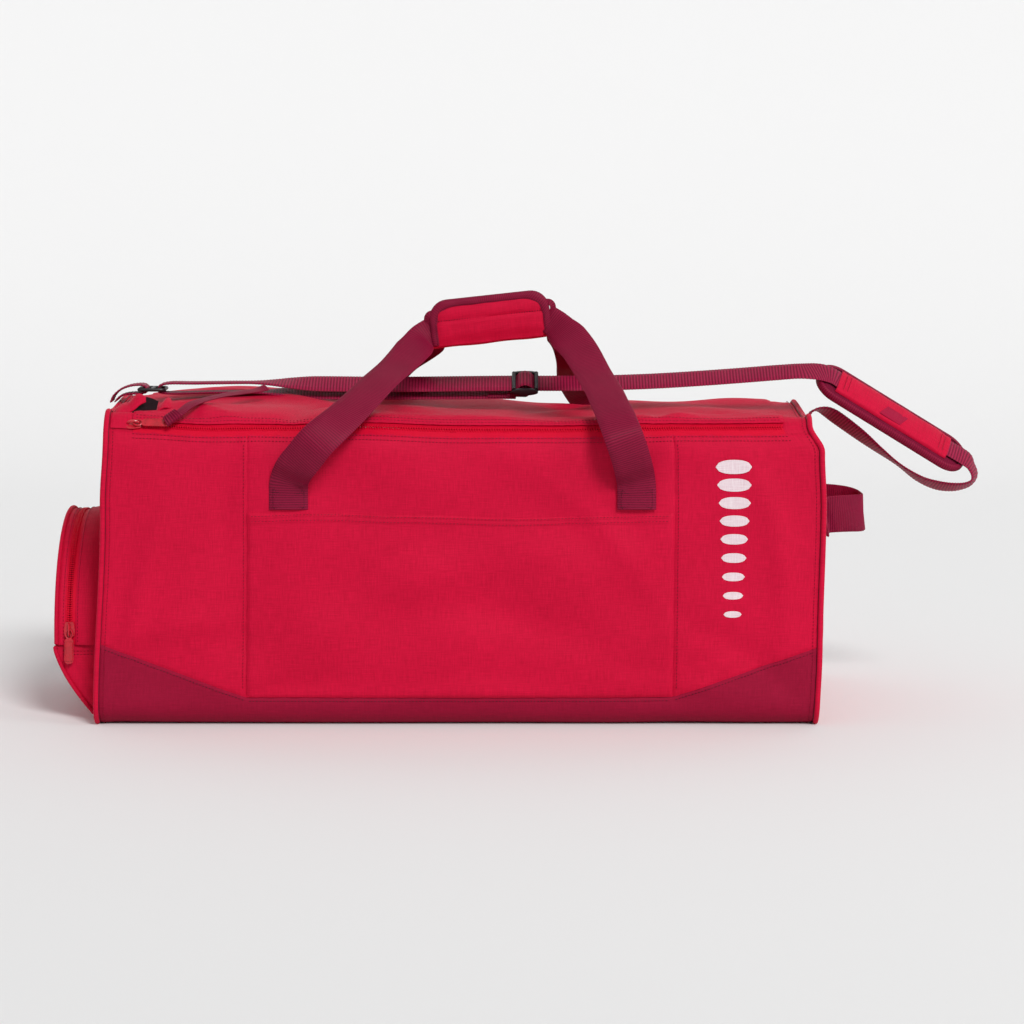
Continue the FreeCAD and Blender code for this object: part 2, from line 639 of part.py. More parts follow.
node(cut(
    "strap_adjuster_wrap",
    fused("wrap_outside",
          block("wrap_round_bar", (f"{AT} - 4.2", f"{AT} + 4.2"), STRAP_YS, (333.2, 339.4)),
          block("wrap_tail", (f"{AT} - 41", f"{AT} - 4"), STRAP_YS, (333.2, 335.0))),
    block("wrap_hole", (f"{AT} - 2.2", f"{AT} + 2.2"),
          ("dims.strap_line - 20", "dims.strap_line + 20"), (335.0, 337.6)),
), "strap_adjuster_wrap")

PAD_XS = ("-dims.pad_length / 2", "dims.pad_length / 2")
SLEEVE_XS = ("-dims.pad_length / 2 + 22", "dims.pad_length / 2 - 22")
pad_pieces = [
    block("pad_foam", PAD_XS, ("-dims.pad_half", "dims.pad_half"), (-9.5, -2)),
    cut("pad_sleeve",
        block("sleeve_outside", SLEEVE_XS, (-20, 20), (-1.9, 3.4)),
        block("sleeve_inside", ("-dims.pad_length", "dims.pad_length"), (-17, 17), (-3, 1.9))),
    cut("pad_binding",
        block("pad_binding_outside", ("-dims.pad_length / 2 - 0.2", "dims.pad_length / 2 + 0.2"),
              ("-dims.pad_half - 3", "dims.pad_half + 3"), (-9.5, -2.4)),
        block("pad_binding_inside", ("-dims.pad_length", "dims.pad_length"),
              ("-dims.pad_half - 0.2", "dims.pad_half + 0.2"), (-12, 2))),
    block("pad_patch", (-12, 12), (-19.5, 0), (3.6, 4.6)),
]
for piece in pad_pieces:
    holder = grouped(f"{piece.Name}_placed", piece)
    holder.Placement = FreeCAD.Placement(PAD_MIDDLE, pad_turn)
    bind(holder, Placement__Base__y="dims.strap_line")
    node(holder, f"{piece.Name}_node")

# ---------------------------------------------------------------- end pocket

ARCH = ("0", "dims.pocket_level")
END_FACE = "-dims.half_length - 0.5 - dims.wall"
ZIP_X = "-dims.pocket_zip"
RADII = ("dims.pocket_radius - dims.wall", "dims.pocket_radius")
TAPE = ("dims.pocket_radius - 4.4", "dims.pocket_radius - 3.2")
TEETH = ("dims.pocket_radius - 3.1", "dims.pocket_radius - 1.1")
FACE_XS = ("-dims.half_length - dims.pocket_depth - dims.wall",
           "-dims.half_length - dims.pocket_depth")


def pocket_arch(name, radii, xs):
    return arch(name, ARCH, radii, 0, 180, xs)


node(pocket_arch("pocket_inner_gusset", RADII, (f"{ZIP_X} + 6.2", END_FACE)),
     "pocket_inner_gusset")
node(grouped("pocket_inner_zip_half",
             pocket_arch("pocket_inner_tape", TAPE, (f"{ZIP_X} + 1.4", f"{ZIP_X} + 14")),
             pocket_arch("pocket_inner_teeth", TEETH, (f"{ZIP_X} + 1.2", f"{ZIP_X} + 4.4"))),
     "pocket_inner_zip_half")
node(grouped("pocket_outer_zip_half",
             pocket_arch("pocket_outer_tape", TAPE, (f"{ZIP_X} - 11.4", f"{ZIP_X} - 1.4")),
             pocket_arch("pocket_outer_teeth", TEETH, (f"{ZIP_X} - 4.4", f"{ZIP_X} - 1.2"))),
     "pocket_outer_zip_half")
node(pocket_arch("pocket_face_gusset", RADII, (f"{FACE_XS[1]} + 0.2", f"{ZIP_X} - 5.8")),
     "pocket_face_gusset")
node(pocket_arch("pocket_face_piping", ("dims.pocket_radius + 0.3", "dims.pocket_radius + 3"),
                 (FACE_XS[0], f"{FACE_XS[1]} + 0.6")), "pocket_face_piping")

disc = doc.addObject("Part::Cylinder", "pocket_face_disc")
bind(disc, Radius="dims.pocket_radius", Height="dims.wall", Angle=180)
disc.Placement = FreeCAD.Placement(V(0, 0, 0), ACROSS)
bind(disc, Placement__Base__x=FACE_XS[0], Placement__Base__z="dims.pocket_level")
node(disc, "pocket_face_panel")

# Below the zip the pocket is a fixed pouch that tapers down to the foot of the end panel.
FOOT, TOP = 4.5, "dims.pocket_level - 4"
node(extruded(
    "pocket_lower_panel",
    polygon_sketch("pocket_lower_outline", [
        (FACE_XS[0], TOP), (FACE_XS[1], TOP), ("-dims.half_length - 9.4", FOOT + 6),
        ("-dims.half_length - 6.4", FOOT + 6), ("-dims.half_length - 6.4", FOOT),
        ("-dims.half_length - 11.4", FOOT),
    ], ALONG),
    V(0, -1, 0), "dims.pocket_radius", "2 * dims.pocket_radius"), "pocket_lower_panel")
gussets = []
for side, start in (("front", "-dims.pocket_radius + dims.wall"), ("back", "dims.pocket_radius")):
    gussets.append(extruded(
        f"pocket_lower_gusset_{side}",
        polygon_sketch(f"pocket_lower_gusset_outline_{side}", [
            (END_FACE, TOP), (f"{FACE_XS[1]} + 0.3", TOP), ("-dims.half_length - 9.2", FOOT + 6.4),
            ("-dims.half_length - 6.4", FOOT + 6.4), (END_FACE, FOOT + 6.4),
        ], ALONG),
        V(0, -1, 0), start, "dims.wall"))
node(grouped("pocket_lower_gussets", *gussets), "pocket_lower_gussets")

# Slider and pull, drawn with Z as the radius and the pull along -Y, then turned to the arch.
slider_block = fused(
    "pocket_slider_block",
    block("pocket_slider_outer", (-5.5, 5.5), (-7, 7), (129.7, 131.3)),
    block("pocket_slider_inner", (-5.5, 5.5), (-7, 7), (123.2, 124.9)),
    block("pocket_slider_bridge", (-0.8, 0.8), (-6, -2), (124.9, 129.7)),
    block("pocket_slider_low_post", (-1.2, 1.2), (-6, -4.5), (131.3, 134.6)),
    block("pocket_slider_high_post", (-1.2, 1.2), (4.5, 6), (131.3, 134.6)),
    block("pocket_slider_bail", (-1.2, 1.2), (-6, 6), (134.6, 136)),
)
pull_block = fused(
    "pocket_pull_block",
    rod("pocket_pull_pin", 0.8, 8.4, (0, 0, 133), (1, 0, 0)),
    block("pocket_pull_inner_cheek", (2.6, 4.2), (-10, 0), (132.2, 133.8)),
    block("pocket_pull_outer_cheek", (-4.2, -2.6), (-10, 0), (132.2, 133.8)),
    block("pocket_pull_plate", (-5, 5), (-36, -9), (132.2, 133.8)),
)
SLIDER_RISE = 7  # degrees up the arch from its front foot
for thing, label in ((slider_block, "pocket_zip_slider_body"), (pull_block, "pocket_zip_pull_tab")):
    thing.Placement = FreeCAD.Placement(V(0, 0, 0), FreeCAD.Rotation(V(1, 0, 0), 90 - SLIDER_RISE))
    bind(thing, Placement__Base__x=ZIP_X, Placement__Base__z="dims.pocket_level")
    node(thing, label)

# ---------------------------------------------------------------- check and write

doc.recompute()
troubled = [thing.Name for thing in doc.Objects if {"Invalid", "Error"} & set(thing.State)]
if troubled:
    raise RuntimeError(f"these objects failed: {troubled}")
os.makedirs("parts", exist_ok=True)
for thing in nodes:
    label = thing.Label.removesuffix("_node")
    if thing.Shape.isNull() or not thing.Shape.isValid() or not thing.Shape.Solids:
        raise RuntimeError(f"{label} has no valid solid")
    thing.Shape.exportStep(f"parts/{label}.step")
    box = thing.Shape.BoundBox
    print(f"{label:28s} solids {len(thing.Shape.Solids)}  volume {thing.Shape.Volume:11.0f}  "
          f"x {box.XMin:7.1f} {box.XMax:7.1f}  y {box.YMin:7.1f} {box.YMax:7.1f}  "
          f"z {box.ZMin:6.1f} {box.ZMax:6.1f}")
print(len(nodes), "nodes")
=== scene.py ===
import math

import bmesh
import bpy
import numpy as np
from mathutils import Matrix, Vector


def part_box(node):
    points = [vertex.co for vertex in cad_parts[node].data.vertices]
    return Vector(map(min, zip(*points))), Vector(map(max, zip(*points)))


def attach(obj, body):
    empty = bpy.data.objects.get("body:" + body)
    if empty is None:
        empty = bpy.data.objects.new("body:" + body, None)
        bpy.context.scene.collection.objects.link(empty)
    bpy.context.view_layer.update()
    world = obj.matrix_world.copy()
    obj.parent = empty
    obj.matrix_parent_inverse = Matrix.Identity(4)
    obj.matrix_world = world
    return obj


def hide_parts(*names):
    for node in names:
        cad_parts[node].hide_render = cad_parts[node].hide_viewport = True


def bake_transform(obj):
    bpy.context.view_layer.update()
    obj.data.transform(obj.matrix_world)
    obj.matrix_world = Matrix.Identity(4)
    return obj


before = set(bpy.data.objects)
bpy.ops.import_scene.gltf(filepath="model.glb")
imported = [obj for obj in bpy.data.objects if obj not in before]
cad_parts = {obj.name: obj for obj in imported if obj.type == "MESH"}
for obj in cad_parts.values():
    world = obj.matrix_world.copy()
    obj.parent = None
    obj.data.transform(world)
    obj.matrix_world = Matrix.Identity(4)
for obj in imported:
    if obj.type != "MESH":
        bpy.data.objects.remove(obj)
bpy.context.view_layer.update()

# The looks of the hockey equipment bag. Shapes are worked out in millimetres in the frame's own axes
# (X along the bag, -Y the front, +Z up) and turned into metres when a mesh is made.
MM = 0.001


def corners(node):
    """Lowest and highest corner of a CAD node, in millimetres."""
    return tuple(np.array(corner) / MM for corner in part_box(node))


# ---------------------------------------------------------------- camera, stage and light

EYE = (0.0567, -3.365, 0.600)  # metres
EYE_DIP = 6.7  # degrees below level
FOCAL, SENSOR = 110, 36


def add_camera():
    lens = bpy.data.cameras.new("camera")
    lens.lens, lens.sensor_width, lens.clip_end = FOCAL, SENSOR, 60
    eye = bpy.data.objects.new("camera", lens)
    eye.location = EYE
    eye.rotation_euler = (math.radians(90 - EYE_DIP), 0, 0)
    bpy.context.scene.collection.objects.link(eye)
    bpy.context.scene.camera = eye


def add_stage():
    """Pale floor that curves up into a pale wall far behind the bag."""
    wall, bend, width, height = 4.5, 2.5, 9.0, 9.0
    profile = [(-width, 0.0), (wall - bend, 0.0)]
    profile += [(wall - bend + bend * math.sin(a), bend - bend * math.cos(a))
                for a in np.linspace(0, math.pi / 2, 24)[1:]]
    profile += [(wall, height)]
    verts = [(side * width, y, z) for y, z in profile for side in (-1, 1)]
    faces = [(2 * i, 2 * i + 1, 2 * i + 3, 2 * i + 2) for i in range(len(profile) - 1)]
    mesh = bpy.data.meshes.new("studio_floor")
    mesh.from_pydata(verts, [], faces)
    mesh.shade_smooth()
    floor = bpy.data.objects.new("studio_floor", mesh)
    bpy.context.scene.collection.objects.link(floor)
    paper = bpy.data.materials.new("paper")
    paper.use_nodes = True
    bsdf = paper.node_tree.nodes["Principled BSDF"]
    bsdf.inputs["Base Color"].default_value = (0.81, 0.81, 0.81, 1)
    bsdf.inputs["Roughness"].default_value = 0.9
    bsdf.inputs["Specular IOR Level"].default_value = 0.1
    mesh.materials.append(paper)


def add_light(name, kind, place, aim, power, **settings):
    lamp = bpy.data.lights.new(name, kind)
    lamp.energy = power
    for key, value in settings.items():
        setattr(lamp, key, value)
    holder = bpy.data.objects.new(name, lamp)
    holder.location = place
    holder.rotation_euler = (Vector(aim) - Vector(place)).to_track_quat("-Z", "Y").to_euler()
    bpy.context.scene.collection.objects.link(holder)


def add_studio():
    add_camera()
    add_stage()
    add_light("key", "SUN", (1.35, -2.9, 2.7), (0, 0, 0), 1.9, angle=math.radians(18))
    add_light("rake", "AREA", (2.6, -1.4, 1.5), (0, 0, 0.15), 12, shape="DISK", size=0.9)
    world = bpy.data.worlds.new("studio_air")
    world.use_nodes = True
    sky = world.node_tree.nodes["Background"]
    sky.inputs["Color"].default_value = (1, 1, 1, 1)
    sky.inputs["Strength"].default_value = 0.47
    bpy.context.scene.world = world
    bpy.context.scene.view_settings.view_transform = "Standard"


# ---------------------------------------------------------------- materials

def linear(red, green, blue):
    """Shader colour from 0-255 display values."""
    values = []
    for part in (red / 255, green / 255, blue / 255):
        values.append(part / 12.92 if part <= 0.04045 else ((part + 0.055) / 1.055) ** 2.4)
    return (*values, 1)


class Recipe:
    """A material and short ways of adding nodes to it."""

    def __init__(self, name, rough, gloss, sheen=0.0):
        self.material = bpy.data.materials.new(name)
        self.material.use_nodes = True
        self.tree = self.material.node_tree
        self.bsdf = self.tree.nodes["Principled BSDF"]
        self.set({"Roughness": rough, "Specular IOR Level": gloss, "Sheen Weight": sheen,
                  "Sheen Roughness": 0.3, "Sheen Tint": linear(255, 170, 185)})

    def set(self, values):
        for key, value in values.items():
            self.bsdf.inputs[key].default_value = value

    def add(self, kind, inputs=(), **settings):
        node = self.tree.nodes.new(f"ShaderNode{kind}")
        for key, value in settings.items():
            setattr(node, key, value)
        for key, value in dict(inputs).items():
            socket = node.inputs[key]
            if isinstance(value, bpy.types.NodeSocket):
                self.tree.links.new(value, socket)
            else:
                socket.default_value = value
        return node

    def maths(self, operation, first, second=0.0):
        return self.add("Math", {0: first, 1: second}, operation=operation).outputs[0]

    def weighed(self, *terms):
        """Sum of (value, weight) terms."""
        total = None
        for value, weight in terms:
            part = self.maths("MULTIPLY", value, weight)
            total = part if total is None else self.maths("ADD", total, part)
        return total

    def ramp(self, tone, low, dark, high, light):
        """Dark where tone is low, light where it is high."""
        node = self.add("ValToRGB", {"Fac": tone})
        for stop, place, colour in zip(node.color_ramp.elements, (low, high), (dark, light)):
            stop.position, stop.color = place, colour
        return node.outputs["Color"]

    def noise(self, vector, scale, detail, rough=0.6):
        return self.add("TexNoise", {"Vector": vector, "Scale": scale, "Detail": detail,
                                     "Roughness": rough}).outputs["Fac"]

    def stretched(self, vector, scale):
        return self.add("Mapping", {"Vector": vector, "Scale": scale}).outputs["Vector"]

    def bands(self, vector, direction, period):
        """Even waves, period apart in the units of vector."""
        return self.add("TexWave", {"Vector": vector, "Scale": math.pi / 10 / period,
                                    "Distortion": 0.0},
                        wave_type="BANDS", bands_direction=direction).outputs["Fac"]

    def finish(self, colour, height, depth, strength):
        """Colour, and bumps of a depth in millimetres."""
        self.tree.links.new(colour, self.bsdf.inputs["Base Color"])
        bump = self.add("Bump", {"Height": height, "Distance": depth * MM, "Strength": strength})
        self.tree.links.new(bump.outputs["Normal"], self.bsdf.inputs["Normal"])
        return self.material


def woven(name, light, dark, thread, rough=0.6, gloss=0.09, rise=0.16):
    """Plain weave in the "Cloth" map, which is in millimetres, with uneven yarn and soft patches."""
    recipe = Recipe(name, rough, gloss, 0.07)
    cloth = recipe.add("UVMap", uv_map="Cloth").outputs["UV"]
    warp_yarn = recipe.bands(cloth, "X", thread)
    weft_yarn = recipe.bands(cloth, "Y", thread)
    weave = recipe.maths("MULTIPLY", warp_yarn, weft_yarn)
    slubs = recipe.noise(recipe.stretched(cloth, (0.05, 1.1, 1)), 1.0, 4.0, 0.7)
    slivers = recipe.noise(recipe.stretched(cloth, (0.9, 0.06, 1)), 1.0, 3.0, 0.6)
    patches = recipe.noise(cloth, 0.006, 1.0)
    yarn = recipe.weighed((slubs, 0.55), (slivers, 0.45))
    tone = recipe.maths("SUBTRACT", recipe.weighed((yarn, 0.9), (patches, 0.15)), 0.04)
    tone = recipe.maths("ADD", tone, recipe.maths("MULTIPLY", weave, 0.18))
    height = recipe.maths("ADD", weave, recipe.maths("MULTIPLY", yarn, 0.8))
    return recipe.finish(recipe.ramp(tone, 0.28, dark, 0.76, light), height, rise, 0.6)


def ribbed(name, light, dark, pitch=2.5, rib_shade=0.4):
    """Webbing: ribs across it, fine yarn along it, and painted shade that darkens the grooves between
    the ribs.
    """
    recipe = Recipe(name, 0.5, 0.12, 0.04)
    cloth = recipe.add("UVMap", uv_map="Cloth").outputs["UV"]
    ribs = recipe.bands(cloth, "X", pitch)
    yarns = recipe.bands(cloth, "Y", 1.15)
    fuzz = recipe.noise(recipe.stretched(cloth, (0.5, 1.4, 1)), 1.0, 4.0, 0.7)
    patches = recipe.noise(cloth, 0.03, 2.0)
    # painted shade: the rib bands darken the colour in the grooves, as shade would
    tone = recipe.weighed((ribs, rib_shade), (fuzz, 0.45), (patches, 0.2))
    height = recipe.maths("ADD", recipe.maths("MULTIPLY", ribs, yarns), fuzz)
    return recipe.finish(recipe.ramp(tone, 0.18, dark, 0.88, light), height, 0.25, 0.6)


def moulded(name, light, dark, rough, gloss, coat=0.0):
    """Cast or moulded part: faint orange peel, and scuffs where the noise is high."""
    recipe = Recipe(name, rough, gloss)
    recipe.set({"Coat Weight": coat, "Coat Roughness": 0.2})
    place = recipe.add("TexCoord").outputs["Object"]
    peel = recipe.noise(place, 900.0, 2.0)
    scuffs = recipe.noise(place, 160.0, 5.0, 0.75)
    return recipe.finish(recipe.ramp(scuffs, 0.35, dark, 0.80, light), peel, 0.05, 0.4)


# Kind, name, light colour, dark colour, and what else that kind of material is told.
LOOKS = {name: kind(name, linear(*light), linear(*dark), **settings)
         for kind, name, light, dark, settings in (
    (woven, "red_fabric", (220, 17, 64), (166, 4, 40), {"thread": 0.9}),
    (woven, "maroon_fabric", (166, 20, 58), (124, 10, 40), {"thread": 1.1, "rough": 0.7}),
    (ribbed, "webbing", (152, 22, 62), (92, 7, 34), {}),
    # the strap's webbing has deeper painted shade in its grooves
    (ribbed, "strap_webbing", (160, 26, 68), (84, 6, 32), {"pitch": 3.3, "rib_shade": 0.62}),
    (woven, "red_tape", (222, 6, 52), (190, 2, 38), {"thread": 0.6, "rough": 0.5}),
    (moulded, "red_coil", (222, 6, 50), (196, 3, 38), {"rough": 0.5, "gloss": 0.1}),
    (moulded, "red_enamel", (214, 16, 48), (172, 8, 32), {"rough": 0.3, "gloss": 0.5, "coat": 0.5}),
    (moulded, "black_plastic", (48, 44, 48), (22, 20, 23), {"rough": 0.42, "gloss": 0.4}),
    (moulded, "board", (60, 58, 62), (38, 36, 40), {"rough": 0.7, "gloss": 0.2}),
    (woven, "foam", (134, 22, 58), (86, 10, 34),
     {"thread": 2.2, "rough": 0.8, "gloss": 0.1, "rise": 0.5}),
    (woven, "hook_loop", (66, 16, 28), (30, 6, 12),
     {"thread": 1.6, "rough": 0.9, "gloss": 0.05, "rise": 0.6}),
    (woven, "thread", (150, 10, 44), (108, 4, 30), {"thread": 0.8, "rough": 0.5, "gloss": 0.2}),
    # dark thread for stitches; the same material paints shade in the crease beside the end piping
    (woven, "dark_thread", (104, 16, 44), (64, 8, 26), {"thread": 0.8, "rough": 0.5, "gloss": 0.2}),
    (woven, "pad_label", (176, 26, 64), (138, 14, 48), {"thread": 1.1, "rough": 0.7}),
    (woven, "ink", (244, 236, 238), (206, 170, 182), {"thread": 0.9, "rough": 0.5, "rise": 0.1}),
    # painted shade: a near-black cloth standing for the shadowed gap at the zip's left end
    (woven, "lining", (44, 24, 30), (18, 10, 13), {"thread": 1.4, "rough": 0.8, "gloss": 0.1}))}


# ---------------------------------------------------------------- mesh tools

def unit(vectors):
    return vectors / np.maximum(np.linalg.norm(vectors, axis=-1, keepdims=True), 1e-9)


def smooth(low, high, value):
    """0 below low, 1 above high, eased between them."""
    share = np.clip((value - low) / (high - low), 0, 1)
    return share * share * (3 - 2 * share)


def circle(count):
    """Evenly spread angles round a full turn."""
    return np.linspace(0, 2 * math.pi, count, endpoint=False)


def lengths(path):
    """How far along a path each of its points lies."""
    return np.concatenate([[0], np.cumsum(np.linalg.norm(np.diff(path, axis=0), axis=1))])


def sampled(at, length, points):
    """Points at given places along a line whose points lie length along it."""
    return np.stack([np.interp(at, length, column) for column in points.T], -1)


def eased(knots, at):
    """Value that eases from knot to knot: (place, value) pairs."""
    places, values = (np.array(column, float) for column in zip(*knots))
    index = np.clip(np.searchsorted(places, at) - 1, 0, len(places) - 2)
    share = smooth(0, 1, (at - places[index]) / (places[index + 1] - places[index]))
    return values[index] + (values[index + 1] - values[index]) * share


def piece(name, verts, faces, look, body, nodes=(), uvs=None, sharp=50, ride=True):
    """A visible piece from millimetre points. uvs holds one pair for each corner of each face."""
    mesh = bpy.data.meshes.new(name)
    mesh.from_pydata((np.asarray(verts, float) * MM).tolist(), [], faces)
    layer = mesh.uv_layers.new(name="Cloth")
    if uvs is None:
        flat = [tuple(mesh.vertices[i].co[k] / MM for k in (0, 2))
                for face in mesh.polygons for i in face.vertices]
    else:
        flat = [pair for face in uvs for pair in face]
    layer.data.foreach_set("uv", np.asarray(flat, float).ravel())
    shell = bmesh.new()
    shell.from_mesh(mesh)
    bmesh.ops.recalc_face_normals(shell, faces=shell.faces)
    shell.to_mesh(mesh)
    shell.free()
    mesh.shade_smooth()
    mesh.set_sharp_from_angle(angle=math.radians(sharp))
    mesh.materials.append(LOOKS[look])
    thing = bpy.data.objects.new(name, mesh)
    bpy.context.scene.collection.objects.link(thing)
    if ride:
        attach(thing, body)
    if nodes:
        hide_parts(*nodes)
    return thing


def stack_faces(count, size, closed=False, first=0):
    """Faces round a stack of rings. Closed joins the last ring to the first; if not, both ends
    are capped. The first point has the number first."""
    faces = []
    for i in range(count if closed else count - 1):
        a, b = first + i * size, first + (i + 1) % count * size
        faces += [(a + j, a + (j + 1) % size, b + (j + 1) % size, b + j) for j in range(size)]
    if not closed:
        faces += [tuple(first + end + j for j in range(size)) for end in (0, (count - 1) * size)]
    return faces


def flat_uvs(verts, faces):
    """Cloth coordinates of a piece that stands across the bag."""
    return [[(verts[i][1], verts[i][2]) for i in face] for face in faces]


def grid_shell(name, outer, inner, cloth, look, body, nodes=(), **kwargs):
    """Closed cloth between two grids of points. cloth gives each grid point's place in the weave."""
    rows, cols = outer.shape[:2]
    verts = np.concatenate([outer.reshape(-1, 3), inner.reshape(-1, 3)])
    weave = np.concatenate([cloth.reshape(-1, 2)] * 2)
    layer = rows * cols
    faces = []
    for i in range(rows - 1):
        for j in range(cols - 1):
            a, b = i * cols + j, (i + 1) * cols + j
            faces.append((a, b, b + 1, a + 1))
            faces.append((a + layer, a + 1 + layer, b + 1 + layer, b + layer))
    rim = list(range(cols)) + [i * cols + cols - 1 for i in range(1, rows)]
    rim += [(rows - 1) * cols + j for j in range(cols - 2, -1, -1)]
    rim += [i * cols for i in range(rows - 2, 0, -1)]
    for a, b in zip(rim, rim[1:] + rim[:1]):
        faces.append((a, b, b + layer, a + layer))
    uvs = [[weave[i] for i in face] for face in faces]
    return piece(name, verts, faces, look, body, nodes, uvs, **kwargs)


def swept(name, rings, along, across, look, body, nodes=(), loop=False, **kwargs):
    """Closed solid through rings of points; loop joins the last ring to the first."""
    count, size = rings.shape[:2]
    across = np.append(across, across[-1] + across[1] - across[0])
    uvs = []
    for i in range(count if loop else count - 1):
        here, after = along[i], along[i + 1] if i + 1 < count else 2 * along[-1] - along[-2]
        uvs += [((here, a), (here, b), (after, b), (after, a)) for a, b in zip(across, across[1:])]
    if not loop:
        uvs += [[(end + 0.5 * math.cos(a), 0.5 * math.sin(a)) for a in circle(size)]
                for end in (along[0], along[-1])]
    return piece(name, rings.reshape(-1, 3), stack_faces(count, size, loop), look, body, nodes, uvs,
                 **kwargs)


def spline(knots, step):
    """Even rows along a smooth line through knots; columns after the third are carried along."""
    knots = np.asarray(knots, float)
    ends = np.vstack([2 * knots[0] - knots[1], knots, 2 * knots[-1] - knots[-2]])
    t = np.linspace(0, 1, 20, endpoint=False)[:, None]
    spans = []
    for a, b, c, d in zip(ends, ends[1:], ends[2:], ends[3:]):
        spans.append(0.5 * (2 * b + (c - a) * t + (2 * a - 5 * b + 4 * c - d) * t ** 2
                            + (3 * b - a - 3 * c + d) * t ** 3))
    fine = np.vstack([*spans, knots[-1:]])
    length = lengths(fine[:, :3])
    at = np.linspace(0, length[-1], max(2, round(length[-1] / step)) + 1)
    return at, sampled(at, length, fine)


WEBBING_STEP = 1.25  # between two ribs of webbing


class Band:
    """Rows of a flat band: how far along, where, which way across and which way it faces."""

    def __init__(self, stations, step=WEBBING_STEP):
        at, rows = spline([[*place, *face] for place, face in stations], step)
        self.at = np.arange(len(at)) * step
        self.place = rows[:, :3]
        run = unit(np.gradient(self.place, axis=0))
        self.side = unit(np.cross(run, rows[:, 3:]))
        self.face = unit(np.cross(self.side, run))

    def cut(self, low, high):
        """The rows from low to high, counted from the start."""
        part = object.__new__(Band)
        for field in ("at", "place", "side", "face"):
            setattr(part, field, getattr(self, field)[low:high])
        return part

    def nearest(self, point):
        return int(np.argmin(np.linalg.norm(self.place - np.array(point), axis=1)))


BAND_SECTION = np.array([(-1, 0), (-0.95, 0.8), (-0.6, 1), (0, 1), (0.6, 1), (0.95, 0.8),
                         (1, 0), (0.95, -0.8), (0.6, -1), (0, -1), (-0.6, -1), (-0.95, -0.8)])


RIB = 0.22  # how far a rib stands out, as a share of half the thickness
CUT_END = 0.55  # thickness left where webbing is cut off


def ribbon(name, band, width, thick, look, body, nodes=(), cup=0.0, thin=(True, True), **kwargs):
    """Webbing with rounded selvedges, a rib every second row, and a slight cup across it.

    width is one number or one for each row; thin says which of the two ends taper off."""
    width = np.broadcast_to(np.asarray(width, float), band.at.shape)
    a, b = BAND_SECTION[:, 0], BAND_SECTION[:, 1]
    ribs = 1 + RIB * np.where(np.arange(len(band.at)) % 2, 1, -1)[:, None]
    for row, tapers in zip((0, -1), thin):
        ribs[row] = CUT_END if tapers else ribs[row]
    out = b[None] * thick / 2 * ribs + cup * (1 - a ** 2)[None]
    rings = (band.place[:, None] + band.side[:, None] * (a[None] * width[:, None] / 2)[..., None]
             + band.face[:, None] * out[..., None])
    across = lengths(BAND_SECTION * (width[0] / 2, thick / 2))
    return swept(name, rings, band.at, across, look, body, nodes, **kwargs)


def round_rings(path, radius, sides, closed, axis, guides):
    """Rings of points round a path, turned as little as can be from one to the next. The second
    guide is for a path that starts along the axis."""
    run = unit(np.roll(path, -1, 0) - np.roll(path, 1, 0) if closed else np.gradient(path, axis=0))
    guide = np.array(guides[int(abs(run[0][axis]) >= 0.8)])
    side = np.zeros_like(path)
    for i, direction in enumerate(run):
        guide = guide - direction * guide.dot(direction)
        side[i] = guide = guide / np.linalg.norm(guide)
    other = np.cross(run, side)
    turn = circle(sides)[None, :, None]
    return path[:, None] + radius * (np.cos(turn) * side[:, None] + np.sin(turn) * other[:, None])


def tube(name, path, radius, look, body, nodes=(), loop=False, sides=10):
    """Round piping cord along path."""
    rings = round_rings(path, radius, sides, loop, 2, ((0.31, 0.22, 0.92), (0.92, 0.3, 0.2)))
    return swept(name, rings, lengths(path), circle(sides) * radius, look, body, nodes, loop)


def chunks(name, solids, look, body, nodes=(), place=Matrix()):
    """Hard piece made of (verts, faces) solids, moved from their own frame to their place."""
    verts, faces = [], []
    for points, shapes in solids:
        faces += [tuple(len(verts) + i for i in face) for face in shapes]
        verts += [tuple(place @ Vector(point)) for point in points]
    return piece(name, verts, faces, look, body, nodes, sharp=35)


def block_solid(low, high):
    """Verts and faces of a block with rounded edges."""
    part = bmesh.new()
    bmesh.ops.create_cube(part, size=1)
    size, middle = np.subtract(high, low), np.add(high, low) / 2
    for vert in part.verts:
        vert.co = Vector(np.array(vert.co) * size + middle)
    bmesh.ops.bevel(part, geom=part.edges[:], offset=0.8, segments=3, affect="EDGES", profile=0.5)
    part.verts.index_update()
    verts = [tuple(vert.co) for vert in part.verts]
    faces = [tuple(vert.index for vert in face.verts) for face in part.faces]
    part.free()
    return verts, faces


def loop_solid(path, radius, sides=8, closed=False):
    """Verts and faces of a round bar along path."""
    path = np.asarray(path, float)
    rings = round_rings(path, radius, sides, closed, 1, ((0.11, 0.93, 0.2), (0.9, 0.2, 0.3)))
    return rings.reshape(-1, 3), stack_faces(len(path), sides, closed)


def rounded_outline(half_long, half_wide, radius, count=8):
    """Rounded rectangle's corners as (a, b) pairs, anticlockwise."""
    points = []
    for corner in range(4):
        cx = (half_long - radius) * (1, -1, -1, 1)[corner]
        cy = (half_wide - radius) * (1, 1, -1, -1)[corner]
        for turn in np.linspace(0, math.pi / 2, count):
            angle = turn + corner * math.pi / 2
            points.append((cx + radius * math.cos(angle), cy + radius * math.sin(angle)))
    return np.array(points)


def dense(outline, gap):
    """A closed outline with more points along its sides, about a gap apart."""
    points = []
    for here, after in zip(outline, np.roll(outline, -1, axis=0)):
        count = max(1, round(np.linalg.norm(after - here) / gap))
        points += [here + (after - here) * share for share in np.linspace(0, 1, count, endpoint=False)]
    return np.array(points)


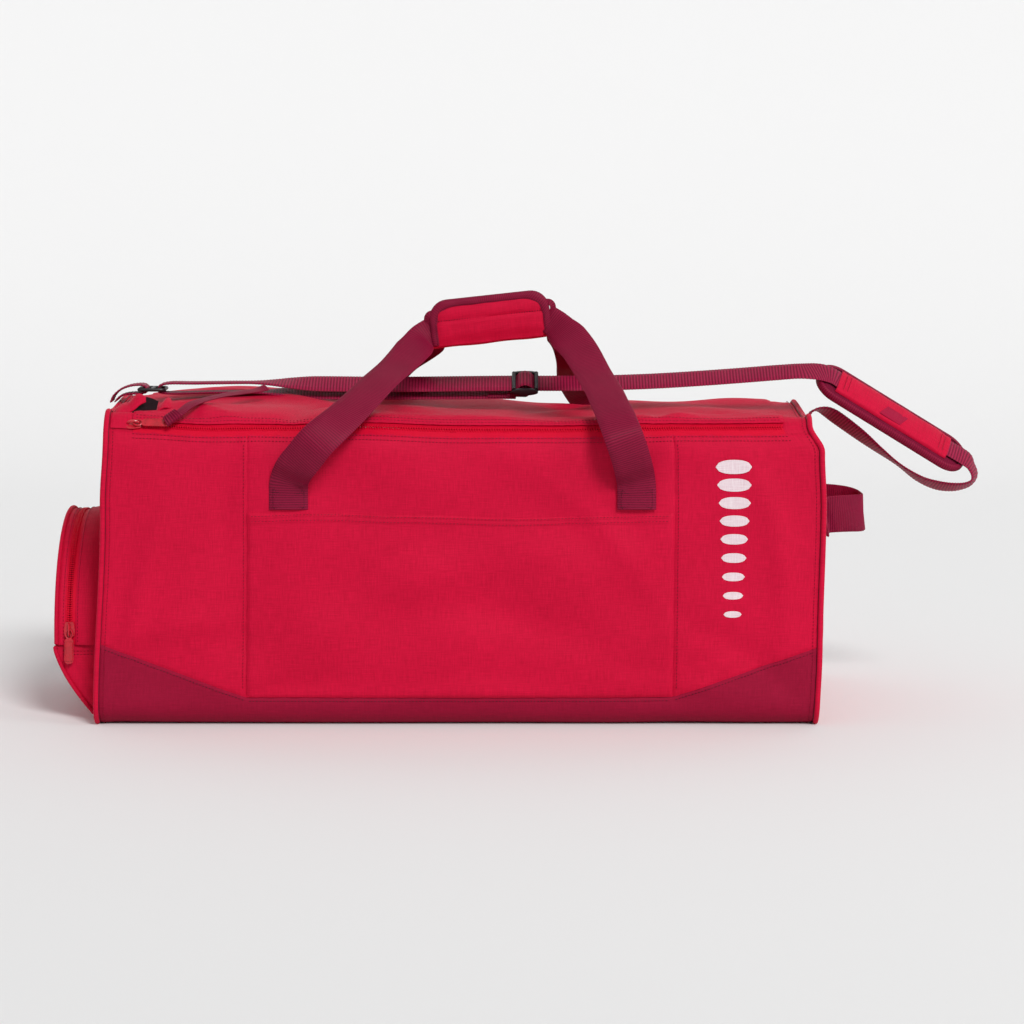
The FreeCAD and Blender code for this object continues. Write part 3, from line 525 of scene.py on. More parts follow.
def plate_solid(outline, low, high, soft):
    """Verts and faces of a plate with softened edges: outline in X and Y, low to high in Z."""
    outline = np.asarray(outline, float)
    centre = outline.mean(axis=0)
    radial = outline - centre
    reach = np.linalg.norm(radial, axis=1, keepdims=True)
    levels = ((low, soft), (low + soft, 0), (high - soft, 0), (high, soft))
    verts = [(x, y, level) for level, inset in levels
             for x, y in centre + radial * (1 - inset / reach)]
    return verts, stack_faces(len(levels), len(outline))


class Stitches:
    """Rows of thread, gathered into one piece for each name."""

    def __init__(self):
        self.verts, self.faces = {}, {}

    def line(self, name, path, normal, pitch=3.6, long=2.7, fat=0.42):
        """Stitches along path; normal is one direction or one for each point of the path."""
        path = np.asarray(path, float)
        normal = np.broadcast_to(np.asarray(normal, float), path.shape)
        length = lengths(path)
        at = np.arange(pitch / 2, length[-1] - pitch / 4, pitch)
        spots, ahead, behind = (sampled(at + step, length, path) for step in (0, 0.5, -0.5))
        out = unit(sampled(at, length, normal))
        run = unit(ahead - behind)
        side = unit(np.cross(run, out))
        verts, faces = self.verts.setdefault(name, []), self.faces.setdefault(name, [])
        for spot, r, s, n in zip(spots, run, side, out):
            first = len(verts)
            verts += [spot + offset for offset in (
                -r * long / 2 - n * fat * 0.6, s * fat + n * 0.1, n * fat * 1.3,
                -s * fat + n * 0.1, -n * fat, r * long / 2 - n * fat * 0.6)]
            for a, b in ((1, 2), (2, 3), (3, 4), (4, 1)):
                faces += [(first, first + b, first + a), (first + 5, first + a, first + b)]

    def build(self, name, look, body, ride=True):
        rows = piece(name, self.verts[name], self.faces[name], look, body, sharp=80, ride=ride)
        rows.name = f"{name}_stitches"
        return rows


thread = Stitches()


# ---------------------------------------------------------------- the body's skin

BODY = corners("base_panel")
HALF, DEPTH = BODY[1][0], BODY[1][1]
HEIGHT = corners("top_rear_panel")[1][2]
LOW_ROUND = 25.0  # radius along the foot of the front and back
HIGH_ROUND = HEIGHT - corners("back_panel")[1][2]
SEAM_LEFT, SEAM_RIGHT = (corners("front_centre_panel")[k][0] for k in (0, 1))
MOUTH = -corners("top_left_strip")[1][0]
FLAT_LOW = DEPTH - LOW_ROUND
WALL_FOOT = FLAT_LOW + LOW_ROUND * math.pi / 2
WALL_TOP = WALL_FOOT + HEIGHT - LOW_ROUND - HIGH_ROUND
CROWN = WALL_TOP + HIGH_ROUND * math.pi / 2
GIRTH = 2 * (CROWN + DEPTH - HIGH_ROUND)
ZIP_LINE = WALL_TOP + HIGH_ROUND * math.pi / 4
# Height of the base cover's upper edge along the bag, before the body's rounding.
BASE_EDGE = ((-HALF, 86.2), (SEAM_LEFT, 30.0), (SEAM_RIGHT, 30.0), (HALF, 82.7))


def section(s):
    """Y, Z and outward normal of the body's outline, s along it from under the middle, front first."""
    s = np.asarray(s, float) % GIRTH
    behind = np.where(s > GIRTH / 2, -1, 1)
    s = np.where(behind < 0, GIRTH - s, s)
    low = np.clip((s - FLAT_LOW) / LOW_ROUND, 0, math.pi / 2)
    high = np.clip((s - WALL_TOP) / HIGH_ROUND, 0, math.pi / 2)
    y = -np.minimum(s, FLAT_LOW) - LOW_ROUND * np.sin(low) + HIGH_ROUND * (1 - np.cos(high))
    y = y + np.maximum(s - CROWN, 0)
    z = LOW_ROUND * (1 - np.cos(low)) + np.clip(s - WALL_FOOT, 0, WALL_TOP - WALL_FOOT)
    z = z + HIGH_ROUND * np.sin(high)
    return behind * y, z, behind * -np.sin(low + high), -np.cos(low + high)


# How the filled bag sags: knots of (place along the bag or height, shift).
ZIP_DROP = ((-370, 1), (-333, -1), (-250, -5), (-118, -3), (45, -6), (250, -4), (370, -3))
CREST = ((-370, -4), (-230, 2), (-100, -4), (0, -11), (120, -14), (250, -13), (370, -12))
LEFT_LEAN = ((0, -3.5), (230, 7), (300, 11), (326, 11))
RIGHT_LEAN = ((0, 1), (80, 3.5), (230, 6), (289, 3.7), (315, -8.4))
FOOT_LIFT = ((-370, 0), (-348, 1.5), (-120, 0), (60, 0.8), (150, 0), (230, 1.6), (330, 0.5), (370, 0))


def warp(points):
    """Sag and lean of the filled bag."""
    x, y, z = (points[..., k] for k in range(3))
    over = smooth(-150, -95, y)
    drop = smooth(190, 300, z) * ((1 - over) * eased(ZIP_DROP, x) + over * eased(CREST, x))
    drop = drop - 5 * smooth(300, 326, z) * np.cos(np.clip(y / 125, -1, 1) * math.pi / 2) ** 2
    foot = (1 - smooth(0, 40, z)) * smooth(110, 165, np.abs(y)) * eased(FOOT_LIFT, x)
    lean = (1 - smooth(-HALF, -150, x)) * eased(LEFT_LEAN, z)
    lean = lean + smooth(150, HALF, x) * eased(RIGHT_LEAN, z)
    return np.stack([x + (1 - smooth(-165, 40, y)) * lean, y, np.maximum(z + drop + foot, 0)], -1)


random = np.random.default_rng(11)
# Waves in the cloth: along the bag, whole waves round it, phase.
SWELLS = [(random.uniform(-0.05, 0.05), int(random.integers(2, 18)), random.uniform(0, 6.28))
          for _ in range(14)]
# Soft folds: middle along the bag, middle along the outline, heading in degrees, half-length,
# half-width, height.
FOLDS = [
    (262, 520, 28, 55, 7, 2.6), (232, 540, 62, 60, 8, -2.4), (300, 512, 12, 40, 5, 2.0),
    (-290, 520, -30, 60, 8, 2.2), (-160, 540, 75, 70, 9, -1.8), (40, 560, 10, 90, 10, -2.0),
    (-330, 300, 78, 60, 7, 1.8), (-345, 210, 60, 45, 6, -1.6), (-240, 400, 84, 50, 6, -1.2),
    (-60, 300, 24, 110, 16, 1.6), (90, 260, -18, 120, 15, -1.5), (160, 350, -50, 70, 9, 1.4),
    (-150, 372, 48, 50, 8, 1.5), (330, 330, -80, 70, 8, 1.5), (300, 230, -35, 60, 9, -1.4),
    (-290, 260, 8, 60, 9, 1.2), (0, 190, 4, 130, 8, 1.2), (250, 195, -8, 70, 7, 1.0),
    (-180, 196, 10, 60, 7, -1.0), (0, 900, 15, 120, 14, 1.8), (-220, 980, 60, 80, 11, 1.6),
    (210, 1000, -40, 90, 12, -1.6), (120, 730, 50, 80, 12, -2.0), (-250, 700, -20, 70, 11, 1.8),
]


SWELL, FOLD = 0.5, 2.7  # how high the waves are, and how much the folds' heights are raised


def wrinkles(x, s):
    """How far the cloth stands out of its plain outline."""
    rise = sum(SWELL * np.sin(along * x + 2 * math.pi * turns * s / GIRTH + phase)
               for along, turns, phase in SWELLS)
    for middle, centre, heading, long, wide, height in FOLDS:
        turn = math.radians(heading)
        along = (x - middle) * math.cos(turn) + (s - centre) * math.sin(turn)
        off = (s - centre) * math.cos(turn) - (x - middle) * math.sin(turn)
        off = off + 0.0012 * along ** 2
        rise = rise + FOLD * height * np.exp(-0.5 * (along / long) ** 2 - 0.5 * (off / wide) ** 2)
    return rise * (1 - 0.8 * np.exp(-((s - ZIP_LINE) / 13) ** 2))


def skin(x, s, lift=0.0):
    """Points on the sagging body, lift outside its cloth."""
    x, s, lift = np.broadcast_arrays(np.asarray(x, float), s, lift)
    y, z, ny, nz = section(s)
    calm = smooth(6, 40, z) * smooth(0, 30, HALF - np.abs(x))
    out = lift + calm * wrinkles(x, s % GIRTH)
    return warp(np.stack([x, y + ny * out, z + nz * out], -1))


def skin_normal(x, s):
    x, s = np.broadcast_arrays(np.asarray(x, float), s)
    ny, nz = section(s)[2:]
    return np.stack([np.zeros_like(ny), ny, nz], -1)


def base_line(x):
    """Where the base cover's upper edge lies on the outline."""
    places, heights = zip(*BASE_EDGE)
    return np.interp(x, places, heights) + WALL_FOOT - LOW_ROUND


def ruler(low, high, step, inset=(0, 0.7, 1.8, 4, 9)):
    """Places from low to high, closer together beside both ends."""
    inset = np.array(inset)
    count = max(2, round((high - low - 2 * inset[-1]) / step))
    middle = np.linspace(low + inset[-1], high - inset[-1], count + 1)
    return np.concatenate([low + inset[:-1], middle, (high - inset[:-1])[::-1]])


def panel(name, span, low, high, look, body="root", nodes=(), lift=0.0, thick=1.6, puff=2.2,
          roll=0.9, pucker=0.35, step=8.0, gape=None, **kwargs):
    """Sewn cloth panel on the skin between two X places and two edges along the outline.

    The cloth dips into its seams, puckers beside them and swells between them. gape(x) lifts the
    high edge away from the skin."""
    xs = ruler(*span, step)
    length = high(xs) - low(xs)
    share = ruler(0, float(length.max()), step) / float(length.max())
    x = np.repeat(xs[:, None], len(share), 1)
    s = low(xs)[:, None] + share[None] * length[:, None]
    to_side = np.minimum(x - span[0], span[1] - x)
    to_edge = np.minimum(share, 1 - share)[None] * length[:, None]
    near = np.minimum(to_side, to_edge)
    rise = lift - roll * (1 - smooth(0, 3, near)) + puff * smooth(0, 70, near)
    rise = rise + pucker * np.sin((x + s) * 0.46) * np.exp(-near / 9)
    if gape is not None:
        rise = rise + gape(x) * smooth(0.6, 1, share)[None] ** 2
    rim = np.minimum(near, 1.2) / 1.2
    outer = skin(x, s, rise)
    inner = skin(x, s, rise - thick * (0.25 + 0.75 * rim))
    return grid_shell(name, outer, inner, np.stack([x, s], -1), look, body, nodes, **kwargs)


def constant(value):
    return lambda x: np.full_like(np.asarray(x, float), value)


def seam_rows(name, x, s, lift=0.5):
    """Stitches along a line on the skin."""
    thread.line(name, skin(x, s, lift), skin_normal(x, s))


POCKET_TOP = corners("front_pocket_panel")[1][2] + WALL_FOOT - LOW_ROUND
PANEL_TOP = ZIP_LINE - 8.6  # sewn edge in front of the zip
FOLD_EDGE = ZIP_LINE + 5.6  # folded edge behind it
TOP_BACK = GIRTH - WALL_TOP
POCKET_WAVE = ((SEAM_LEFT, 1.0), (-150, 3.0), (-60, 0.0), (60, -2.5), (160, 0.0), (SEAM_RIGHT, 1.5))


def pocket_edge(x):
    return POCKET_TOP + eased(POCKET_WAVE, x)


def add_body_panels():
    panel("base_cover", (-HALF, HALF), lambda x: -base_line(x), base_line, "maroon_fabric",
          nodes=("base_panel",), puff=0.6, step=9)
    for side, span in (("left", (-HALF, SEAM_LEFT)), ("centre", (SEAM_LEFT, SEAM_RIGHT)),
                       ("right", (SEAM_RIGHT, HALF))):
        panel(f"front_{side}_cloth", span, base_line, constant(PANEL_TOP), "red_fabric",
              nodes=(f"front_{side}_panel",), puff=2.0)
    panel("back_cloth", (-HALF, HALF), constant(TOP_BACK), lambda x: GIRTH - base_line(x),
          "red_fabric", nodes=("back_panel",), puff=3.0, step=9)
    for side, span in (("left", (-HALF, -MOUTH + 3)), ("right", (MOUTH - 3, HALF))):
        panel(f"top_{side}_edge", span, constant(PANEL_TOP), constant(TOP_BACK), "red_fabric",
              nodes=(f"top_{side}_strip",), puff=0, lift=-0.8, step=7)
    # front pocket: a second layer, sewn in along its sides and foot, hemmed and loose along its top
    panel("front_pocket_cloth", (SEAM_LEFT + 0.4, SEAM_RIGHT - 0.4),
          lambda x: base_line(x) + 0.4, pocket_edge, "red_fabric", lift=2.3, thick=1.4,
          puff=2.2, roll=2.2, nodes=("front_pocket_panel",),
          gape=lambda x: 1.4 * np.cos(np.pi * (x - 2.5) / (SEAM_RIGHT - SEAM_LEFT)) ** 2)
    along = np.linspace(SEAM_LEFT + 4, SEAM_RIGHT - 4, 110)
    for drop in (3.2, 9.0):
        seam_rows("body", along, pocket_edge(along) - drop, 5.0)
    # topstitching beside the vertical seams, along the base's edge and below the zip
    rise = np.linspace(0.03, 0.97, 60)
    for place in (SEAM_LEFT - 3.5, SEAM_RIGHT + 3.5):
        foot = base_line(place)
        seam_rows("body", place, foot + rise * (PANEL_TOP - foot), 0.6)
    for span in ((-HALF + 5, SEAM_LEFT - 2), (SEAM_LEFT + 2, SEAM_RIGHT - 2),
                 (SEAM_RIGHT + 2, HALF - 5)):
        x = np.linspace(*span, 60)
        seam_rows("base", x, base_line(x) - 3.6, 0.4)
        seam_rows("base", x, GIRTH - base_line(x) + 3.6, 0.4)
    x = np.linspace(-MOUTH, MOUTH, 240)
    for drop in (3.0, 7.5):
        seam_rows("body", x, PANEL_TOP - drop, 0.7)


def add_top():
    """The top panel, its folded hem and the stitches along it."""
    top = panel("top_cloth", (-MOUTH, MOUTH), constant(FOLD_EDGE), constant(TOP_BACK), "red_fabric",
                "mouth_flap", ("mouth_flap_panel", "top_rear_panel"), lift=0.9, puff=1.6, roll=0.7,
                ride=False)
    hem = panel("top_hem", (-MOUTH + 0.5, MOUTH - 0.5), constant(FOLD_EDGE - 0.8),
                constant(FOLD_EDGE + 9), "red_fabric", "mouth_flap", lift=1.7, puff=0, roll=0.5,
                thick=1.4, pucker=0.3, step=6, ride=False)
    x = np.linspace(-MOUTH + 3, MOUTH - 3, 240)
    for inset in (2.4, 7.0):
        seam_rows("top", x, FOLD_EDGE + inset, 1.9)
    rows = thread.build("top", "thread", "mouth_flap", ride=False)
    for thing in (top, hem, rows):
        gather(thing)


def gather(thing):
    """Bake a piece's placement into its mesh."""
    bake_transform(thing)


def add_ends():
    """Domed end panels inside rings of piping, with a thin dark cord of painted shade in the crease
    beside each ring.
    """
    ring = np.linspace(0, GIRTH, 160, endpoint=False)
    share = np.array([0.02, 0.1, 0.2, 0.3, 0.4, 0.5, 0.6, 0.7, 0.8, 0.88, 0.94, 0.975, 1.0])
    for side, sign, dome in (("left", -1, 2.5), ("right", 1, 12.0)):
        edge = skin(sign * HALF, ring, -0.4)
        middle = edge.mean(axis=0)
        spread = share[:, None, None]
        flat = middle + spread * (edge[None] - middle)
        swell = dome * (1 - share ** 4)[:, None] - 1.4 * smooth(0.93, 1, share)[:, None]
        ripple = 0.9 * np.sin(3 * ring[None] / GIRTH * 2 * math.pi + 9 * share[:, None])
        ripple = ripple + 0.5 * np.sin(flat[..., 2] * 0.05 + flat[..., 1] * 0.03)
        swell = swell + 1.2 + ripple * (share * (1 - share ** 6))[:, None]
        outer, inner = flat.copy(), flat.copy()
        outer[..., 0] += sign * (swell + 0.8)
        inner[..., 0] += sign * (swell - 0.8)
        loops = np.concatenate([outer, inner[::-1]])
        verts, faces = loops.reshape(-1, 3), stack_faces(*loops.shape[:2])
        piece(f"{side}_end_cloth", verts, faces, "red_fabric", "root",
              (f"{side}_end_panel",), flat_uvs(verts, faces))
        fine = np.linspace(0, GIRTH, 420, endpoint=False)
        path = skin(sign * HALF, fine, 0.1)
        path[:, 0] += sign * 1.9
        path[:, 2] = np.maximum(path[:, 2], 2.9)
        tube(f"{side}_end_cord", path, 2.9, "red_fabric", "root", (f"{side}_end_piping",),
             loop=True)
        # painted shade: a thin dark cord in the crease between the piping and the panel
        groove = skin(sign * (HALF - 0.5), fine, 0.35)
        groove[:, 2] = np.maximum(groove[:, 2], 1.0)
        tube(f"{side}_end_crease_shade", groove, 0.75, "dark_thread", "root", loop=True, sides=6)
        rows = skin(sign * (HALF - 5.5), fine[::2], 0.5)
        thread.line("body", rows, skin_normal(0, fine[::2]))


TAPE_SPAN = MOUTH - 1
X_AXIS = np.array((1.0, 0, 0))


def coil_row(name, teeth, profile, wire, body, nodes=()):
    """Row of zip teeth, one short loop of wire each. A tooth is its place and its directions across
    the zip, along it and out of it; profile has (place across, thickness) pairs."""
    verts, faces = [], []
    for place, across, along, out in teeth:
        faces += stack_faces(len(profile), 6, first=len(verts))
        verts += [place + end * across
                  + swell * (wire[0] * math.cos(a) * along + wire[1] * math.sin(a) * out)
                  for end, swell in profile for a in circle(6)]
    return piece(name, verts, faces, "red_coil", body, nodes, sharp=60)


def zip_teeth(name, s, body, node, lean):
    """One row of the main zip's coil; its loops also lean a little along the zip."""
    places = np.arange(-TAPE_SPAN + 2, TAPE_SPAN - 1, 2.6)
    level = np.full_like(places, s)
    out = skin_normal(places, level)
    across = np.cross(X_AXIS, out) * lean + 0.25 * X_AXIS
    teeth = zip(skin(places, level, -0.9), across, [X_AXIS] * len(places), out)
    coil_row(name, teeth, ((-1.9, 0.45), (-1.3, 1.0), (0.9, 1.0), (1.9, 0.6)), (0.95, 1.25), body,
             (node,))


def add_main_zip():
    sides = (("front", (PANEL_TOP - 4, ZIP_LINE - 0.6), "root", 1),
             ("rear", (ZIP_LINE + 0.6, FOLD_EDGE + 9), "mouth_flap", -1))
    for side, span, body, way in sides:
        panel(f"main_zip_{side}_tape_cloth", (-TAPE_SPAN, TAPE_SPAN), *map(constant, span),
              "red_tape", body, (f"main_zip_{side}_tape",), lift=-0.7, thick=0.9, puff=0, roll=0.2,
              pucker=0.1)
    for side, span, body, way in sides:
        zip_teeth(f"main_zip_{side}_coil", ZIP_LINE - 1.5 * way, body, f"main_zip_{side}_teeth", way)


def add_print():
    """Generic mark on the front right panel: a column of lozenges that shrink towards its foot."""
    middle, low, high, count = 282.0, 108.0, 284.0, 9
    pitch = (high - low) / count
    for index in range(count):
        share = index / (count - 1)
        half_wide, half_high = 9 + 9 * share, 3.4 + 4.2 * share
        z = low + pitch * (index + 0.5)
        s0 = z + WALL_FOOT - LOW_ROUND
        a, b = np.linspace(-1, 1, 13), np.linspace(-1, 1, 5)
        outline = np.sqrt(np.maximum(1 - np.abs(a) ** 2.4, 0.004))
        x = middle + half_wide * np.repeat(a[:, None], 5, 1)
        s = s0 + half_high * outline[:, None] * b[None]
        near = smooth(0, 70, np.minimum(x - SEAM_RIGHT, HALF - x)) * 2.0
        outer, inner = skin(x, s, near + 0.28), skin(x, s, near - 0.3)
        grid_shell(f"print_{index + 1}", outer, inner, np.stack([x, s], -1), "ink", "root")


# ---------------------------------------------------------------- carry handles

HANDLE_WIDE, HANDLE_THICK = 40.0, 2.4
GATHERED = 29.0  # width of the webbing where it is bunched up inside the grip
PATCH_LOW, PATCH_HIGH = (corners("front_handle_patches")[k][2] for k in (0, 1))
HANDLE_LEFT = corners("front_handle_patches")[0][0] + HANDLE_WIDE / 2
HANDLE_RIGHT = corners("front_handle_patches")[1][0] - HANDLE_WIDE / 2
UP, DOWN, FRONT = (0, 0, 1), (0, 0, -1), (0, -1, 0)
GRIP_MIDDLE, GRIP_SLOPE, GRIP_HALF = np.array((33.0, 0, 414)), math.radians(6.2), 64.0
GRIP_REACH = (GRIP_HALF + 0.5) * math.cos(GRIP_SLOPE)
GRIP_ENDS = [(GRIP_MIDDLE[0] + side * GRIP_REACH, GRIP_MIDDLE[2] + side * GRIP_REACH
              * math.tan(GRIP_SLOPE)) for side in (-1, 1)]


def leg(foot, path, top):
    """Stations of a leg: its sewn foot, its path with the way it faces, and its end in the grip."""
    sewn = [((foot, -DEPTH - 3.6, z), FRONT) for z in (PATCH_LOW + 1, PATCH_HIGH - 6)]
    return sewn + [((x, y, z), (0, front, up)) for x, y, z, front, up in path] + top


LEFT_LEG = leg(HANDLE_LEFT, [
    (-171.8, -172, 257, -1, 0.1), (-166, -184, 270, -1, 0.1), (-155, -193, 284, -1, 0.2),
    (-143, -197, 299, -1, 0.4), (-129, -190, 312, -1, 0.6), (-113.6, -172, 325, -1, 0.9),
    (-97, -144, 340, -0.7, 1), (-81, -110, 355, -0.5, 1), (-63, -66, 369, -0.6, 1),
    (-47, -30, 385, -1, 0.7)],
    [((GRIP_ENDS[0][0] - 8, -9, 395), (0.2, -1, 0.3)),
     ((GRIP_ENDS[0][0] + 4, -3.1, GRIP_ENDS[0][1] - 4.5), FRONT)])
RIGHT_LEG = leg(HANDLE_RIGHT, [
    (184, -172, 257, -1, 0.1), (181, -184, 271, -1, 0.1), (176.5, -193, 287, -1, 0.2),
    (171, -197, 303, -1, 0.4), (166.5, -190, 315, -1, 0.6), (162, -174, 326, -1, 0.9),
    (157, -152, 336, -0.7, 1), (152, -128, 346, -0.5, 1), (141, -88, 363, -0.5, 1),
    (127, -50, 385, -1, 0.7)],
    [((GRIP_ENDS[1][0] + 9, -14, 406), (-0.2, -1, 0.3)),
     ((GRIP_ENDS[1][0] - 4, -3.1, GRIP_ENDS[1][1] - 5.5), FRONT)])


def box_stitch(band):
    """Square with a cross in it, sewn through the foot of a band."""
    def at(row, share):
        return (band.place[row] + band.side[row] * share * (HANDLE_WIDE / 2 - 4)
                + band.face[row] * 1.5)
    rows = np.linspace(1, 17, 12).astype(int)
    share = np.linspace(-1, 1, 12)
    lines = [[at(row, -1) for row in rows], [at(row, 1) for row in rows],
             [at(row, k) for row, k in zip(rows, share)],
             [at(row, -k) for row, k in zip(rows, share)]]
    for row in (rows[0], rows[-1], rows[-1] - 3):
        lines.append([at(row, k) for k in share])
    for line in lines:
        thread.line("webbing", line, band.face[rows[5]], pitch=2.6, long=2.0, fat=0.5)


def add_handles():
    for face, mirror in (("front", 1), ("back", -1)):
        for side, leg in (("left", LEFT_LEG), ("right", RIGHT_LEG)):
            turned = [((x, mirror * y, z), (a, mirror * b, c)) for (x, y, z), (a, b, c) in leg]
            if mirror < 0:
                # the loose cloth of the two handles never hangs quite alike
                out = -30 if side == "right" else 14
                hang = ((256, 0), (330, out), (385, -8 if side == "right" else 12), (400, 0))
                turned = [((x + (eased(hang, z) if z > 256 else 0), y, z), hint)
                          for (x, y, z), hint in turned]
            band = Band(turned)
            split = band.nearest(turned[5][0])
            split += split % 2
            ribbon(f"{face}_handle_foot_{side}", band.cut(0, split + 1), HANDLE_WIDE, HANDLE_THICK,
                   "webbing", "root", (f"{face}_handle_patches", f"{face}_handle_lower_legs"),
                   cup=0.7, thin=(True, False))
            upper_band = band.cut(split, None)
            left = upper_band.at[-1] - upper_band.at
            upper = ribbon(f"{face}_handle_leg_{side}", upper_band,
                           GATHERED + (HANDLE_WIDE - GATHERED) * smooth(8, 45, left),
                           HANDLE_THICK, "webbing", "root", (f"{face}_handle_upper_legs",),
                           cup=0.7, thin=(False, True), ride=False)
            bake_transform(upper)
            box_stitch(band)


# ---------------------------------------------------------------- carry grip

def grip_place(u, v, w):
    """Grip's own frame (along, out of its face, up) to the bag's."""
    cos, sin = math.cos(GRIP_SLOPE), math.sin(GRIP_SLOPE)
    u, v, w = np.broadcast_arrays(np.asarray(u, float), v, w)
    return np.stack([GRIP_MIDDLE[0] + u * cos - w * sin, v, GRIP_MIDDLE[2] + u * sin + w * cos], -1)


GRIP_LOW, GRIP_HIGH, GRIP_ROUND = -26.2, 24.5, 20.0  # a leaf's foot, top and corner radius


def grip_edge(u):
    """Height of the leaf's upper edge, rounded off at its two ends."""
    past = np.clip((np.abs(u) - (GRIP_HALF - GRIP_ROUND)) / GRIP_ROUND, 0, 1)
    return GRIP_HIGH - GRIP_ROUND * (1 - np.sqrt(1 - 0.985 * past ** 2)) + 0.6 * np.sin(u * 0.06)


def grip_leaf(name, face, body, nodes, fat):
    """Padded leaf, crowned along its middle, dimpled where it is sewn."""
    us = ruler(-GRIP_HALF, GRIP_HALF, 3.0, (0, 0.5, 1.2, 2.4, 4))
    share = ruler(0, 50, 2.6, (0, 0.5, 1.2, 2.4, 4)) / 50
    u = np.repeat(us[:, None], len(share), 1)
    high = grip_edge(us)[:, None]
    w = GRIP_LOW + 2.5 + share[None] * (high - GRIP_LOW - 2.5)
    rim = np.minimum(np.minimum(GRIP_HALF - np.abs(u), share[None] * (high - GRIP_LOW)),
                     (1 - share[None]) * (high - GRIP_LOW))
    crown = fat * smooth(-1, 15, rim) + 0.5 * np.sin(u * 0.21 + w * 0.1) * np.exp(-rim / 8)
    crown = crown + 0.7 * np.sin(u * 0.052 + 1.0) * smooth(0, 20, rim)
    crown = crown - 1.7 * np.exp(-((w - 3.5) / 1.3) ** 2)
    outer = grip_place(u, face * (6.4 + crown), w)
    inner = grip_place(u, face * 5.6, w)
    leaf = grid_shell(name, outer, inner, np.stack([u, w], -1), "red_fabric", body, nodes)
    return leaf


def grip_outline(inset, count=24):
    """Points round the left, top and right edges of a leaf, drawn in by inset."""
    half, high = GRIP_HALF - inset, GRIP_HIGH - inset
    turn = np.linspace(0, math.pi / 2, 9)
    left = [(-half + GRIP_ROUND * (1 - math.cos(a)), high - GRIP_ROUND * (1 - math.sin(a)))
            for a in turn]
    points = [(-half, w) for w in np.linspace(GRIP_LOW + 4, high - GRIP_ROUND, 10)[:-1]]
    points += left + [(u, high) for u in np.linspace(-half + GRIP_ROUND, half - GRIP_ROUND, count)[1:-1]]
    return np.array(points + [(-u, w) for u, w in reversed(points[:9] + left)])


def grip_binding(name, face, body, nodes):
    """Folded tape sewn over the edge: a flat hoop round three sides."""
    outer_edge, inner_edge = grip_outline(-0.8), grip_outline(7.2)
    wave = 0.25 * np.sin(np.arange(len(outer_edge)) * 0.9)
    rings = []
    for (u0, w0), (u1, w1), ripple in zip(outer_edge, inner_edge, wave):
        points = []
        for share, height in ((1, 7.4), (0.95, 8.5), (0.5, 9.2), (0.12, 8.6), (0, 7.0), (0, 5.4),
                              (0.3, 4.9), (0.95, 5.0)):
            u, w = u0 + (u1 - u0) * share, w0 + (w1 - w0) * share
            points.append(grip_place(u, face * (height + ripple), w))
        rings.append(points)
    rings = np.array(rings)
    across = np.array([0, 1.2, 4.5, 8, 9.6, 11.2, 13.5, 18.0])
    swept(name, rings, lengths(outer_edge), across, "webbing", body, nodes)
    return np.array([grip_place(u, face * 9.3, w) for u, w in grip_outline(5.6, 60)])


def grip_tape(name, node, body):
    """Hook or loop tape inside a leaf, clipped at its corners to follow the leaf's edge."""
    low, high = corners(node)
    reach, foot, top = GRIP_HALF - 4, 11.5, GRIP_HIGH - 2.2
    us, share = np.linspace(-reach, reach, 45), np.linspace(0, 1, 7)
    edge = np.minimum(grip_edge(us * 1.03) - 2.2, top)
    w = np.minimum(foot + share[None] * (top - foot), edge[:, None] - 1.5 * (1 - share[None]))
    u = np.repeat(us[:, None], 7, 1)
    outer, inner = grip_place(u, high[1] - 0.1, w), grip_place(u, low[1] + 0.1, w)
    grid_shell(name, outer, inner, np.stack([u, w], -1), "hook_loop", body, (node,))


